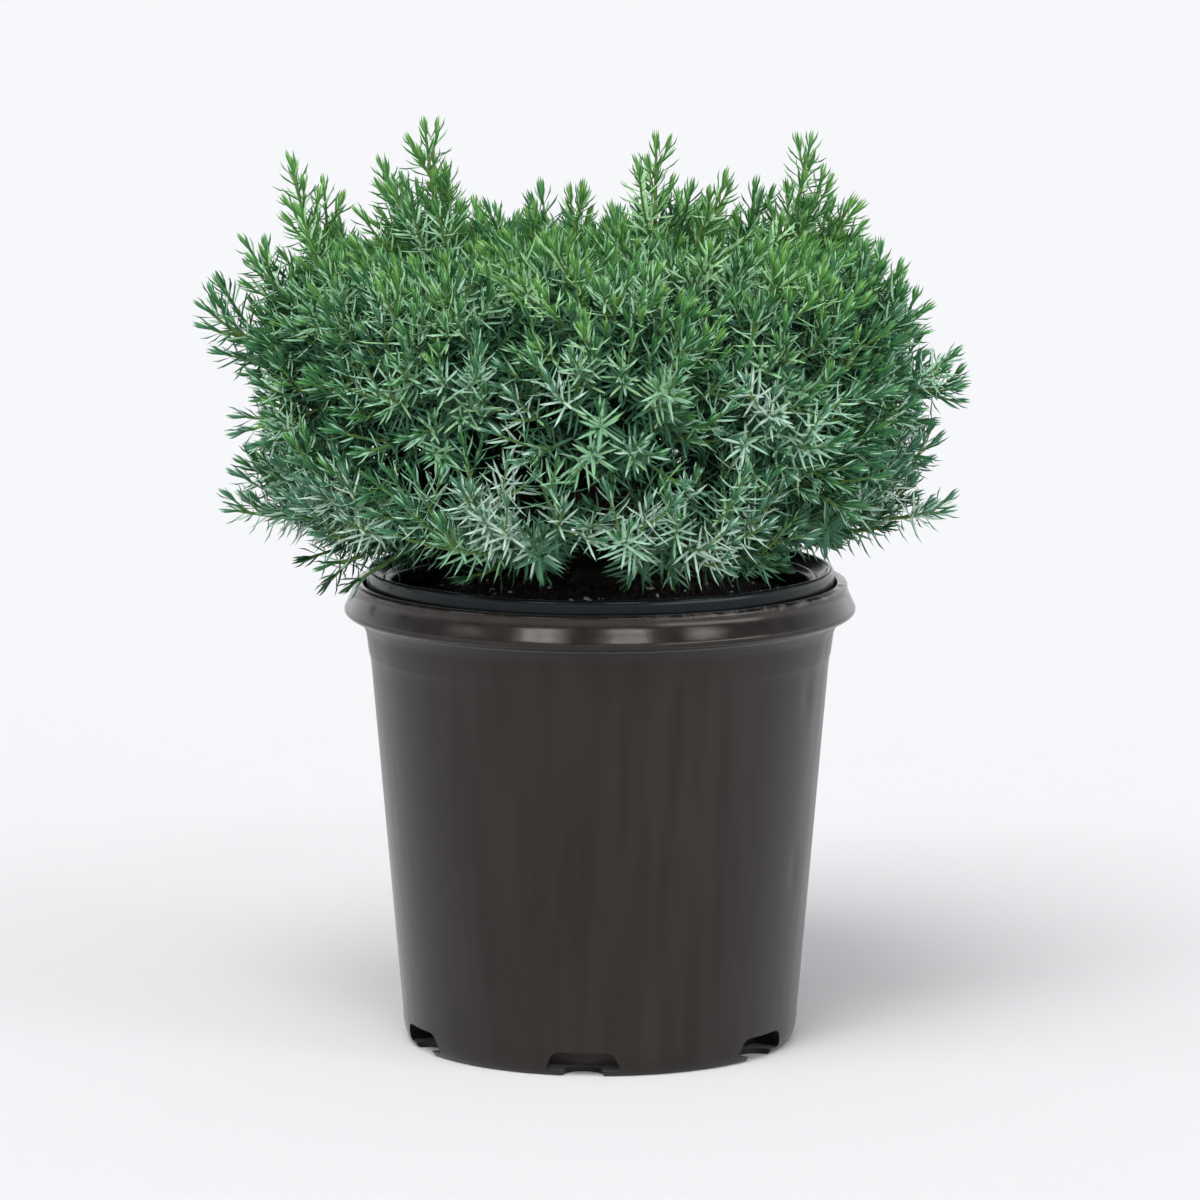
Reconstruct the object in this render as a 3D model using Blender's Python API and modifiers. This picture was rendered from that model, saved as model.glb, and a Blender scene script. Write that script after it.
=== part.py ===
"""A potted juniper: a low, dense garden conifer in a black nursery pot. Metres, +Z up.

The origin is the middle of the pot's underside. Azimuth 0 faces the front, -Y, and 90 faces +X.
The pot holds a thinner liner pot, the liner holds the potting mix, and a short stem stands in the
mix. Tiers of boughs leave the stem, and each bough carries one mass of foliage. The masses part the
crown between them: each keeps to the points that lie nearer to its own middle than to any other.
"""

import math
import random
from dataclasses import dataclass

import bmesh
import bpy
import numpy as np
from mathutils import Matrix, Vector

GAP = 0.0003  # between pieces that touch
CLEARANCE = 0.0008  # between foliage and whatever it must not touch
MERGE = 0.00005
NEARLY_ALONG = 0.05  # a direction this close to upright gives no side direction
TURN_STEPS = 40  # sides of a turned piece

# Outer pot
POT_HEIGHT = 0.1500
POT_LIP_RADIUS = 0.0797
COLLAR_RADIUS = 0.0825
COLLAR_HEIGHT = 0.1400
NECK_RADIUS = 0.0748
NECK_HEIGHT = 0.1334
WALL_FOOT_RADIUS = 0.0641
WALL_FOOT_HEIGHT = 0.0095  # the foot's edge is rounded up to here
GROUND_RADIUS = 0.0610
FOOT_EDGE_STEPS = 3
POT_WALL = 0.0016
LIP_WIDTH = 0.0034
POT_EDGE = 0.0009  # width of the bevel on the lip and the collar
FOOT_RING_INNER_RADIUS = 0.0500
FOOT_RING_HEIGHT = 0.0112  # the step inside the pot that the liner stands on
PAD_RADIUS = 0.0110  # flat pad in the middle of the underside
UNDERSIDE_RECESS = 0.0025
POT_FLOOR = 0.0050

# Drain slots through the foot of the pot
DRAIN_COUNT = 6
DRAIN_AZIMUTH = -5.0
DRAIN_WIDTH_BOTTOM = 0.0250
DRAIN_WIDTH_TOP = 0.0190
DRAIN_BOTTOM = 0.0018
DRAIN_TOP = 0.0080
DRAIN_INNER_RADIUS = 0.0530
DRAIN_BITE_RADIUS = 0.0065
DRAIN_BITE_SIDES = 12

# Liner pot
LINER_TOP = 0.1545
LINER_RIM_RADIUS = 0.0755
LINER_WALL = 0.0014
LINER_INNER_RADIUS = 0.0672  # at the rim's inner edge
LINER_DRAFT = 0.0006  # the bore is this much narrower where the mix meets it
LINER_BEAD = 0.0028  # width of the bead round the top
LINER_GROOVE = 0.0034  # depth of the groove inside the bead
LINER_SHOULDER = LINER_GROOVE * 1.25  # depth at which the bore begins to widen towards the bead
LINER_BEAD_CREST = LINER_BEAD / 2  # from the rim's outer edge to the bead's highest line
LINER_BEAD_EDGE = LINER_BEAD / 5  # from the rim's outer edge to the end of the bead's slope
LINER_BEAD_FALL = LINER_WALL / 4  # how far the bead falls from its crest to there
LINER_SKIRT = 0.0080  # the rim drops straight this far before the wall tapers
LINER_FLOOR_Z = FOOT_RING_HEIGHT + GAP

# Potting mix
MIX_TOP = 0.1485
MIX_EDGE = 0.1425  # where the mix meets the liner
MIX_PLATEAU_RADIUS = 0.0160
MIX_CROWN_RADIUS = 0.0400
MIX_SHOULDER_RADIUS = 0.0580
MIX_CROWN_DROP = 0.2  # share of the bed's whole fall that it has dropped there
MIX_SHOULDER_DROP = 0.5

# Short stem inside the crown: height and radius along it
STEM_LEAN = Vector((0.0035, 0.0020, 0.0))
STEM_FOOT_Z = MIX_TOP + GAP
STEM_BEVEL_STEPS = 4
BOUGH_BEVEL_STEPS = 1
STEM_STATIONS = (
    (0.0000, 0.0105),
    (0.0016, 0.0086),
    (0.0050, 0.0072),
    (0.0140, 0.0062),
    (0.0280, 0.0052),
    (0.0420, 0.0042),
    (0.0560, 0.0034),
)
BOUGH_POINTS = 5
BOUGH_COLLAR = 0.0020  # a bough leaves the stem squarely for this far
BOUGH_TIP_SHARE = 0.62  # a bough's tip radius over its foot radius
BOUGH_BEND = 0.5  # a bough turns to its last heading this share of its length before the tip

# Crown outline: round in plan, and a squared oval from the side
CROWN_MIDDLE = Vector((-0.0040, 0.0, 0.2110))
CROWN_RADIUS_X = 0.1150
CROWN_RADIUS_Y = 0.1080
CROWN_UP = 0.0650
CROWN_DOWN = 0.0610
CROWN_SQUARENESS = 3.3
CROWN_FOOT = 0.1570  # no shoot ends lower, apart from the leaders
CROWN_SHARE_ABOVE_FOOT = 0.8
OUTLINE_SEARCH = 0.30  # farther than any point of the outline
OUTLINE_HALVINGS = 30

# Shoots
SHOOT_COUNT = 165
SHOOT_LEAST_BARE = 0.30  # share of a shoot's length, from its root
SHOOT_RADIUS = 0.0016
SHOOT_TAPER = 0.35  # share of its radius that a shoot loses towards its tip
SHOOT_REACH = (0.90, 1.0)  # share of the way to the outline that a shoot reaches
SHOOT_RISE = (0.4, 1.0)  # how strongly a shoot bends
LEAVE_SHARE = 0.50  # where a shoot leaves the mass's stem when it runs straight on, as a share of the reach
LEAVE_BACK = 0.42  # how much nearer the foot it leaves for each radian that it turns aside
LEAVE_LEAST = 0.10
SHOOT_SHORTEST = 0.0180
SHOOT_OUT_FIRST = 0.22  # a shoot runs outward before it turns up
SHOOT_SAG = 0.14
DRAW_IN = (1.0, 0.94, 0.88, 0.82, 0.76)  # shares of its length tried for a shoot
WHORL_PITCH = 0.0076
WHORLS_LEAST = 2
WHORLS_MOST = 3
NEEDLES_IN_WHORL = 3
NEEDLE_LENGTH = 0.0105
NEEDLE_ANGLE_FOOT = 66.0
NEEDLE_ANGLE_TIP = 24.0
NEEDLE_OVERHANG = 0.0010  # how far the last needles stand past the end of their shoot
NEEDLE_CHECKS = (0.25, 0.5, 0.75, 1.0)  # shares of a needle's length at which its place is tested
CORE_SHARE = 0.58  # of the way from a mass's middle to the crown's outline
CORE_LEAST = 0.78  # the least share of that to which a corner is drawn out
CORE_STEP = 0.0010
CORE_SMALLEST = CORE_STEP * 3
CORE_SUBDIVISIONS = 2
FACE_CHECKS = 4  # steps along the side of a face at which its place is tested
CORE_PRESS = 0.92  # a face of the core that crosses a limit is drawn in by this share at a time
MASS_STEM_TAPER = 0.5
MASS_STEM_SIDES = 6
MASS_STEM_SHARE = 0.44  # how far a mass's stem runs, as a share of the way from its foot to the outline
MASS_CORE_SHARE = 0.42  # the same for the middle of its core
MASS_MIDDLE_SHARE = 0.48  # the same for the point that stands for it where the masses part the crown
GOLDEN_ANGLE = math.pi * (3.0 - math.sqrt(5.0))
SEED = 41


@dataclass(frozen=True)
class Tier:
    """A ring of boughs round the stem, each with its mass of foliage. Angles are in degrees."""

    name: str
    count: int
    first_azimuth: float
    stem_height: float  # above the stem's foot
    bough_radius: float
    tip_radius: float  # from the pot's axis to a bough's tip
    tip_height: float
    heading: float  # elevation at which the foliage leaves the tip
    missing: tuple = ()
    from_stem_tip: bool = False


TIERS = (
    Tier("low", 9, -100.0, 0.0075, 0.0019, 0.0350, 0.1640, 7.0, missing=(4,)),
    Tier("middle", 8, -85.0, 0.0210, 0.0018, 0.0350, 0.2015, 24.0),
    Tier("upper", 6, -75.0, 0.0370, 0.0016, 0.0290, 0.2150, 54.0),
    Tier("top", 2, -90.0, 0.0560, 0.0013, 0.0110, 0.2240, 78.0, from_stem_tip=True),
)

# Places that the foliage leaves open: azimuth, distance from the middle, height
OPEN_PLACES = (
    (-19.0, 0.0850, 0.1920),  # deep shade between the two halves of the front
    (66.0, 0.0640, 0.1530),  # bare potting mix at the right
)

# Leaders, the shoots that stand out of the crown: x, y and height of each tip
LEADERS = (
    (-0.0560, -0.010, 0.2970),
    (-0.1000, 0.000, 0.2850),
    (-0.0710, 0.012, 0.2830),
    (-0.0860, 0.020, 0.2760),
    (-0.1150, 0.006, 0.2580),
    (-0.1280, -0.006, 0.2380),
    (-0.1160, 0.010, 0.2200),
    (-0.1160, -0.016, 0.2040),
    (-0.1160, 0.004, 0.1870),
    (-0.1190, -0.012, 0.1740),
    (-0.0880, -0.034, 0.1590),
    (-0.0370, 0.006, 0.2770),
    (-0.0210, 0.002, 0.2700),
    (-0.0050, -0.006, 0.2770),
    (0.0180, -0.004, 0.2920),
    (0.0410, -0.004, 0.2800),
    (0.0670, -0.006, 0.2920),
    (0.0820, 0.012, 0.2700),
    (0.0970, -0.004, 0.2510),
    (0.1060, 0.010, 0.2360),
    (0.1160, -0.004, 0.2130),
    (0.1100, 0.012, 0.1940),
    (0.1120, -0.008, 0.1730),
    (0.0300, 0.070, 0.2840),
    (-0.0420, 0.076, 0.2860),
    (-0.0750, 0.088, 0.2380),
    (0.0150, 0.116, 0.2400),
    (0.0800, 0.078, 0.2440),
    (-0.0300, 0.112, 0.1950),
    (0.0680, 0.090, 0.1900),
    (-0.0920, 0.060, 0.1960),
    (0.0240, -0.108, 0.2260),
    (-0.0640, -0.088, 0.2300),
    (0.0720, -0.080, 0.2020),
    (-0.0440, -0.058, 0.1580),
    (0.0080, -0.068, 0.1580),
    (0.0460, -0.060, 0.1620),
)

COLOURS = {
    "pot_plastic": ((0.030, 0.027, 0.026), 0.38),
    "liner_plastic": ((0.010, 0.013, 0.014), 0.45),
    "potting_mix": ((0.012, 0.009, 0.008), 0.95),
    "bark": ((0.110, 0.062, 0.038), 0.85),
    "needles": ((0.085, 0.220, 0.120), 0.55),
}


# --- Helpers -----------------------------------------------------------------------------------


def clear_scene():
    """Removes whatever the open scene holds."""
    for obj in list(bpy.data.objects):
        bpy.data.objects.remove(obj)


def make_collection(name):
    collection = bpy.data.collections.new(name)
    bpy.context.scene.collection.children.link(collection)
    return collection


def make_material(name):
    colour, roughness = COLOURS[name]
    material = bpy.data.materials.new(name)
    material.use_nodes = True
    shader = material.node_tree.nodes["Principled BSDF"]
    shader.inputs["Base Color"].default_value = (*colour, 1.0)
    shader.inputs["Roughness"].default_value = roughness
    shader.inputs["Metallic"].default_value = 0.0
    return material


def add_object(name, data, collection, material=None):
    obj = bpy.data.objects.new(name, data)
    collection.objects.link(obj)
    if material is not None:
        data.materials.append(material)
    return obj


def heading_vector(azimuth, elevation):
    """Unit vector at this azimuth and elevation, in degrees."""
    turn, rise = math.radians(azimuth), math.radians(elevation)
    return Vector((math.sin(turn) * math.cos(rise), -math.cos(turn) * math.cos(rise), math.sin(rise)))


def apply_modifiers(obj):
    """Replaces the object's mesh by its evaluated one."""
    graph = bpy.context.evaluated_depsgraph_get()
    made = bpy.data.meshes.new_from_object(obj.evaluated_get(graph))
    obj.modifiers.clear()
    old = obj.data
    obj.data = made
    bpy.data.meshes.remove(old)


def add_boolean(obj, operation, collection):
    boolean = obj.modifiers.new(operation.lower(), "BOOLEAN")
    boolean.operation = operation
    boolean.solver = "EXACT"
    boolean.operand_type = "COLLECTION"
    boolean.collection = collection


def remove_collection(collection):
    for obj in list(collection.objects):
        bpy.data.objects.remove(obj)
    bpy.data.collections.remove(collection)


def turned(name, profile, collection, material):
    """A solid of revolution. The profile runs from the axis over the inside, down the outside and back."""
    mesh = bpy.data.meshes.new(name)
    points = [(radius, 0.0, height) for radius, height in profile]
    mesh.from_pydata(points, [(i, i + 1) for i in range(len(points) - 1)], [])
    obj = add_object(name, mesh, collection, material)
    screw = obj.modifiers.new("turn", "SCREW")
    screw.axis = "Z"
    screw.angle = math.tau
    screw.steps = screw.render_steps = TURN_STEPS
    screw.use_merge_vertices = True
    screw.merge_threshold = MERGE
    screw.use_smooth_shade = True
    return obj


# --- Pot, liner and potting mix ----------------------------------------------------------------


def wall_radius(height):
    """Outer radius of the pot's tapering wall."""
    share = (height - WALL_FOOT_HEIGHT) / (NECK_HEIGHT - WALL_FOOT_HEIGHT)
    return WALL_FOOT_RADIUS + share * (NECK_RADIUS - WALL_FOOT_RADIUS)


def foot_edge():
    """The rounded edge of the foot, from the wall down to the ground."""
    points = []
    for step in range(FOOT_EDGE_STEPS + 1):
        turn = math.pi / 2 * (1 - step / FOOT_EDGE_STEPS)
        radius = GROUND_RADIUS + (WALL_FOOT_RADIUS - GROUND_RADIUS) * math.sin(turn)
        points.append((radius, WALL_FOOT_HEIGHT * (1 - math.cos(turn))))
    return points


def pot_profile():
    lip_inner = POT_LIP_RADIUS - LIP_WIDTH
    return [
        (0.0, POT_FLOOR),
        (FOOT_RING_INNER_RADIUS, POT_FLOOR),
        (FOOT_RING_INNER_RADIUS, FOOT_RING_HEIGHT),
        (wall_radius(FOOT_RING_HEIGHT) - POT_WALL, FOOT_RING_HEIGHT),
        (NECK_RADIUS - POT_WALL, NECK_HEIGHT),
        (lip_inner, COLLAR_HEIGHT),
        (lip_inner, POT_HEIGHT - POT_EDGE),
        (lip_inner + POT_EDGE, POT_HEIGHT),
        (POT_LIP_RADIUS - POT_EDGE, POT_HEIGHT),
        (POT_LIP_RADIUS, POT_HEIGHT - POT_EDGE),
        (COLLAR_RADIUS, COLLAR_HEIGHT + POT_EDGE),
        (COLLAR_RADIUS - POT_EDGE, COLLAR_HEIGHT - POT_EDGE),
        (NECK_RADIUS + POT_EDGE, NECK_HEIGHT + POT_EDGE),
        (NECK_RADIUS, NECK_HEIGHT - POT_EDGE),
        *foot_edge(),
        (FOOT_RING_INNER_RADIUS - POT_EDGE, 0.0),
        (FOOT_RING_INNER_RADIUS - UNDERSIDE_RECESS, UNDERSIDE_RECESS),
        (PAD_RADIUS + UNDERSIDE_RECESS, UNDERSIDE_RECESS),
        (PAD_RADIUS, 0.0),
        (0.0, 0.0),
    ]


def drain_slot(azimuth, collection):
    """Cutter for a slot through the wall's foot, narrower at the top."""
    mesh = bpy.data.meshes.new("drain_slot")
    shape = bmesh.new()
    bmesh.ops.create_cube(shape, size=1.0)
    depth = COLLAR_RADIUS - DRAIN_INNER_RADIUS
    for corner in shape.verts:
        width = DRAIN_WIDTH_TOP if corner.co.z > 0 else DRAIN_WIDTH_BOTTOM
        height = DRAIN_TOP if corner.co.z > 0 else DRAIN_BOTTOM
        out = DRAIN_INNER_RADIUS + (corner.co.y + 0.5) * depth
        corner.co = Vector((corner.co.x * width, -out, height))
    bmesh.ops.recalc_face_normals(shape, faces=shape.faces)
    shape.to_mesh(mesh)
    shape.free()
    cutter = add_object("drain_slot", mesh, collection)
    cutter.rotation_euler.z = math.radians(azimuth)
    return cutter


def drain_bite(azimuth, collection):
    """Cutter for the round bite out of the floor's edge under a slot."""
    mesh = bpy.data.meshes.new("drain_bite")
    shape = bmesh.new()
    bmesh.ops.create_cone(
        shape,
        cap_ends=True,
        segments=DRAIN_BITE_SIDES,
        radius1=DRAIN_BITE_RADIUS,
        radius2=DRAIN_BITE_RADIUS,
        depth=POT_FLOOR * 2,
    )
    shape.to_mesh(mesh)
    shape.free()
    cutter = add_object("drain_bite", mesh, collection)
    cutter.location = heading_vector(azimuth, 0.0) * GROUND_RADIUS
    return cutter


def build_pot(collection, cutters):
    pot = turned("pot", pot_profile(), collection, make_material("pot_plastic"))
    for index in range(DRAIN_COUNT):
        azimuth = DRAIN_AZIMUTH + index * 360.0 / DRAIN_COUNT
        for cutter in (drain_slot(azimuth, cutters), drain_bite(azimuth, cutters)):
            cutter.hide_render = True
            cutter.display_type = "WIRE"
    add_boolean(pot, "DIFFERENCE", cutters)
    return pot


def liner_outer_radius(height):
    return wall_radius(height) - POT_WALL - GAP


def build_liner(collection):
    """The thin grower's pot inside, with its beaded rim standing proud of the outer pot."""
    floor_radius = liner_outer_radius(LINER_FLOOR_Z)
    neck_height = NECK_HEIGHT - POT_EDGE * 2
    profile = [
        (0.0, LINER_FLOOR_Z + LINER_WALL),
        (floor_radius - LINER_WALL, LINER_FLOOR_Z + LINER_WALL),
        (LINER_INNER_RADIUS - LINER_DRAFT, MIX_EDGE),
        (LINER_INNER_RADIUS, LINER_TOP - LINER_SHOULDER),
        (LINER_INNER_RADIUS + LINER_WALL, LINER_TOP - LINER_BEAD),
        (LINER_INNER_RADIUS + LINER_BEAD, LINER_TOP - LINER_GROOVE),
        (LINER_RIM_RADIUS - LINER_BEAD, LINER_TOP - LINER_WALL),
        (LINER_RIM_RADIUS - LINER_BEAD_CREST, LINER_TOP),
        (LINER_RIM_RADIUS - LINER_BEAD_EDGE, LINER_TOP - LINER_BEAD_FALL),
        (LINER_RIM_RADIUS, LINER_TOP - LINER_WALL),
        (LINER_RIM_RADIUS, LINER_TOP - LINER_SKIRT),
        (liner_outer_radius(neck_height), neck_height),
        (floor_radius, LINER_FLOOR_Z),
        (0.0, LINER_FLOOR_Z),
    ]
    return turned("liner", profile, collection, make_material("liner_plastic"))


def build_mix(collection):
    """The potting mix, a plug that fills the liner and rises a little towards the stem."""
    floor = LINER_FLOOR_Z + LINER_WALL + GAP
    floor_radius = liner_outer_radius(LINER_FLOOR_Z) - LINER_WALL - GAP
    edge_radius = LINER_INNER_RADIUS - LINER_DRAFT - GAP
    rise = MIX_TOP - MIX_EDGE
    profile = [
        (0.0, MIX_TOP),
        (MIX_PLATEAU_RADIUS, MIX_TOP),
        (MIX_CROWN_RADIUS, MIX_TOP - rise * MIX_CROWN_DROP),
        (MIX_SHOULDER_RADIUS, MIX_TOP - rise * MIX_SHOULDER_DROP),
        (edge_radius, MIX_EDGE),
        (floor_radius, floor),
        (0.0, floor),
    ]
    return turned("potting_mix", profile, collection, make_material("potting_mix"))


# --- Stem and boughs ---------------------------------------------------------------------------


def limb(name, path, radii, bevel_steps, collection, material):
    """A tapering limb: a curve object with a round bevel and filled caps."""
    curve = bpy.data.curves.new(name, "CURVE")
    curve.dimensions = "3D"
    curve.bevel_depth = 1.0
    curve.bevel_resolution = bevel_steps
    curve.use_fill_caps = True
    spline = curve.splines.new("POLY")
    spline.points.add(len(path) - 1)
    for point, place, radius in zip(spline.points, path, radii):
        point.co = (*place, 1.0)
        point.radius = radius
    return add_object(name, curve, collection, material)


def stem_point(height):
    """The stem's axis this far above its foot: upright at the foot and leaning further up."""
    top = STEM_STATIONS[-1][0]
    return Vector((0.0, 0.0, STEM_FOOT_Z + height)) + STEM_LEAN * (height / top) ** 2


def stem_radius(height):
    heights, radii = zip(*STEM_STATIONS)
    return float(np.interp(height, heights, radii))


def curve_through(start, control, end, count):
    """Points along a quadratic curve."""
    points = []
    for index in range(count):
        share = index / (count - 1)
        points.append(start * (1 - share) ** 2 + control * 2 * share * (1 - share) + end * share**2)
    return points


class Mass:
    """One bough and the foliage at its end, with the place where each begins and heads."""

    def __init__(self, tier, index):
        azimuth = tier.first_azimuth + index * 360.0 / tier.count
        outward = heading_vector(azimuth, 0.0)
        upward = Vector((0.0, 0.0, 1.0))
        self.number = index + 1
        self.tier = tier
        axis = stem_point(tier.stem_height)
        if tier.from_stem_tip:
            start = axis + outward * (tier.bough_radius + GAP) + upward * (GAP * 3)
            bend = start + upward * BOUGH_COLLAR
        else:
            start = axis + outward * (stem_radius(tier.stem_height) + GAP * 2)
            bend = start + outward * BOUGH_COLLAR
        tip = outward * tier.tip_radius + upward * tier.tip_height
        control = tip - heading_vector(azimuth, tier.heading) * (tip - bend).length * BOUGH_BEND
        self.path = [start] + curve_through(bend, control, tip, BOUGH_POINTS - 1)
        self.radii = np.linspace(tier.bough_radius, tier.bough_radius * BOUGH_TIP_SHARE, BOUGH_POINTS)
        self.heading = (self.path[-1] - self.path[-2]).normalized()
        self.foot = tip + self.heading * GAP
        self.reach = distance_to_outline(self.foot, self.heading)
        self.middle = self.foot + self.heading * (self.reach * MASS_MIDDLE_SHARE)

    @property
    def bough_name(self):
        return f"{self.tier.name}_bough_{self.number}"

    @property
    def foliage_name(self):
        return f"{self.tier.name}_foliage_{self.number}"


# --- The crown's outline and each mass's own space ---------------------------------------------


def outline_measure(point):
    """Under 1 inside the crown's outline, 1 on it."""
    away = point - CROWN_MIDDLE
    flat = math.hypot(away.x / CROWN_RADIUS_X, away.y / CROWN_RADIUS_Y)
    tall = abs(away.z) / (CROWN_UP if away.z > 0 else CROWN_DOWN)
    return flat**CROWN_SQUARENESS + tall**CROWN_SQUARENESS


def distance_to_outline(start, direction):
    near, far = 0.0, OUTLINE_SEARCH
    for _ in range(OUTLINE_HALVINGS):
        half = (near + far) / 2
        if outline_measure(start + direction * half) < 1.0:
            near = half
        else:
            far = half
    return near


def outline_points(count):
    """Points spread evenly over the crown's outline, above its foot."""
    points = []
    spread = int(count / CROWN_SHARE_ABOVE_FOOT)
    for index in range(spread):
        rise = 1.0 - 2.0 * (index + 0.5) / spread
        turn = index * GOLDEN_ANGLE
        flat = math.sqrt(1.0 - rise * rise)
        direction = Vector((flat * math.cos(turn), flat * math.sin(turn), rise))
        point = CROWN_MIDDLE + direction * distance_to_outline(CROWN_MIDDLE, direction)
        if point.z > CROWN_FOOT:
            points.append(point)
    return points


class Space:
    """Tells whether points keep to a mass's own space, clear of the pot and of every limb."""

    def __init__(self, masses):
        sites = [mass.middle for mass in masses]
        for azimuth, radius, height in OPEN_PLACES:
            sites.append(heading_vector(azimuth, 0.0) * radius + Vector((0.0, 0.0, height)))
        self.sites = np.array(sites)
        starts, ends, radii = [], [], []
        stations = [(stem_point(height), radius) for height, radius in STEM_STATIONS]
        limbs = [stations] + [list(zip(mass.path, mass.radii)) for mass in masses]
        for stations in limbs:
            for (start, foot_radius), (end, _) in zip(stations, stations[1:]):
                starts.append(start)
                ends.append(end)
                radii.append(foot_radius)
        self.starts, self.ends, self.radii = np.array(starts), np.array(ends), np.array(radii)

    def nearest(self, point):
        """Index of the mass or open place that the point belongs to."""
        return int(np.argmin(np.linalg.norm(self.sites - np.array(point), axis=1)))

    def in_cell(self, points, own):
        """Distance test against the planes half way to every other site."""
        site = self.sites[own]
        others = np.delete(self.sites, own, axis=0)
        across = others - site
        length = np.linalg.norm(across, axis=1)
        beyond = (points @ across.T - ((others + site) / 2 * across).sum(1)) / length
        return (beyond < -CLEARANCE / 2).all(1)

    @staticmethod
    def clear_of_pot(points):
        radius = np.hypot(points[:, 0], points[:, 1])
        over = points[:, 2] > LINER_TOP + CLEARANCE
        outside = radius > COLLAR_RADIUS + CLEARANCE
        within = (radius < LINER_INNER_RADIUS - CLEARANCE) & (points[:, 2] > MIX_TOP + CLEARANCE)
        return over | outside | within

    def clear_of_limbs(self, points):
        along = self.ends - self.starts
        square = (along**2).sum(1)
        from_start = points[:, None, :] - self.starts[None]
        share = np.clip((from_start * along).sum(2) / square, 0.0, 1.0)
        away = np.linalg.norm(from_start - share[..., None] * along, axis=2)
        return (away > self.radii + CLEARANCE).all(1)

    def holds(self, points, own):
        points = np.asarray(points, float)
        return bool(
            (self.in_cell(points, own) & self.clear_of_pot(points) & self.clear_of_limbs(points)).all()
        )


# --- Shoots with their needles -----------------------------------------------------------------


def frame_across(direction):
    """Two unit vectors square to a direction."""
    aside = direction.cross(Vector((0.0, 0.0, 1.0)))
    if aside.length < NEARLY_ALONG:
        aside = direction.cross(Vector((1.0, 0.0, 0.0)))
    aside.normalize()
    return aside, direction.cross(aside).normalized()


class Shoot:
    """A shoot: a slim three-sided core, each whorl of three needles turned half a step from the last."""

    def __init__(self, root, tip, bend, turn, fits):
        self.points, self.faces = [], []
        self.fits = fits
        length = (tip - root).length
        leafy = min(length * (1.0 - SHOOT_LEAST_BARE), WHORLS_MOST * WHORL_PITCH)
        whorls = max(WHORLS_LEAST, round(leafy / WHORL_PITCH))
        shares = [0.0] + [1.0 - leafy / length * (1.0 - i / whorls) for i in range(whorls)]
        control = (root + tip) / 2 + bend
        rings, headings = [], []
        for number, share in enumerate(shares):
            place = root * (1 - share) ** 2 + control * 2 * share * (1 - share) + tip * share**2
            heading = ((control - root) * (1 - share) + (tip - control) * share).normalized()
            headings.append(heading)
            rings.append(self.add_ring(place, heading, SHOOT_RADIUS * (1.0 - SHOOT_TAPER * share), turn))
            turn += math.pi / NEEDLES_IN_WHORL
        self.points.append(tip)
        self.core = list(self.points)
        self.join(rings[0], rings[1])
        for number in range(1, whorls):
            self.join(rings[number], rings[number + 1], headings[number], number / whorls)
        self.close(rings[0], rings[-1], len(self.core) - 1)

    def add_ring(self, place, heading, radius, turn):
        """Adds the three corners of a section and returns their numbers."""
        aside, across = frame_across(heading)
        first = len(self.points)
        for corner in range(NEEDLES_IN_WHORL):
            angle = turn + corner * math.tau / NEEDLES_IN_WHORL
            self.points.append(place + (aside * math.cos(angle) + across * math.sin(angle)) * radius)
        return list(range(first, len(self.points)))

    def join(self, low, high, heading=None, share=0.0):
        """Joins two sections. With a heading, the triangles on the lower one carry a whorl of needles."""
        for corner in range(NEEDLES_IN_WHORL):
            after = (corner + 1) % NEEDLES_IN_WHORL
            base = (low[corner], low[after], high[corner])
            if heading is None:
                self.faces.append(base)
            else:
                self.add_needle(base, heading, share)
            self.faces.append((high[corner], low[after], high[after]))

    def add_needle(self, base, heading, share):
        """Raises a three-sided needle on a triangle of the core, or leaves it bare where there is no room."""
        first, second, third = (self.points[corner] for corner in base)
        normal = (second - first).cross(third - first)
        outward = (normal - heading * normal.dot(heading)).normalized()
        lean = math.radians(NEEDLE_ANGLE_FOOT + (NEEDLE_ANGLE_TIP - NEEDLE_ANGLE_FOOT) * share)
        foot = (first + second + third) / 3
        point = foot + (outward * math.sin(lean) + heading * math.cos(lean)) * NEEDLE_LENGTH
        if not self.fits([foot.lerp(point, along) for along in NEEDLE_CHECKS]):
            self.faces.append(base)
            return
        self.points.append(point)
        apex = len(self.points) - 1
        self.faces += [(base[corner], base[corner - 2], apex) for corner in range(3)]

    def close(self, foot, last, apex):
        """Closes the foot with a triangle and the tip with a point."""
        self.faces += [(last[corner], last[corner - 2], apex) for corner in range(NEEDLES_IN_WHORL)]
        self.faces.append(tuple(reversed(foot)))

    def mesh(self, name):
        mesh = bpy.data.meshes.new(name)
        mesh.from_pydata(self.points, [], self.faces)
        return mesh


def grow_shoot(mass, own, space, target, rng):
    """A shoot from the mass's stem towards the target, drawn in until it keeps to its space, or None."""
    towards = target - mass.foot
    leave_share = max(LEAVE_LEAST, LEAVE_SHARE - LEAVE_BACK * towards.angle(mass.heading))
    leave = mass.foot + mass.heading * (mass.reach * leave_share)
    turn = rng.uniform(0.0, math.tau)
    rise = rng.uniform(*SHOOT_RISE)
    aim = target - (target - leave).normalized() * NEEDLE_OVERHANG
    for share in DRAW_IN:
        tip = leave.lerp(aim, share)
        if (tip - leave).length < SHOOT_SHORTEST:
            return None
        away = tip - leave
        bend = Vector((away.x * SHOOT_OUT_FIRST, away.y * SHOOT_OUT_FIRST, -away.length * SHOOT_SAG)) * rise
        shoot = Shoot(leave, tip, bend, turn, lambda points: space.holds(points, own))
        if space.holds(shoot.core, own):
            return shoot
    return None


# --- Masses of foliage -------------------------------------------------------------------------


def face_samples(corners):
    """Points spread over a triangle."""
    first, second, third = (np.array(corner.co) for corner in corners)
    steps = FACE_CHECKS
    shares = [(a / steps, b / steps) for a in range(steps + 1) for b in range(steps + 1 - a)]
    return np.array([first + (second - first) * a + (third - first) * b for a, b in shares])


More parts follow.
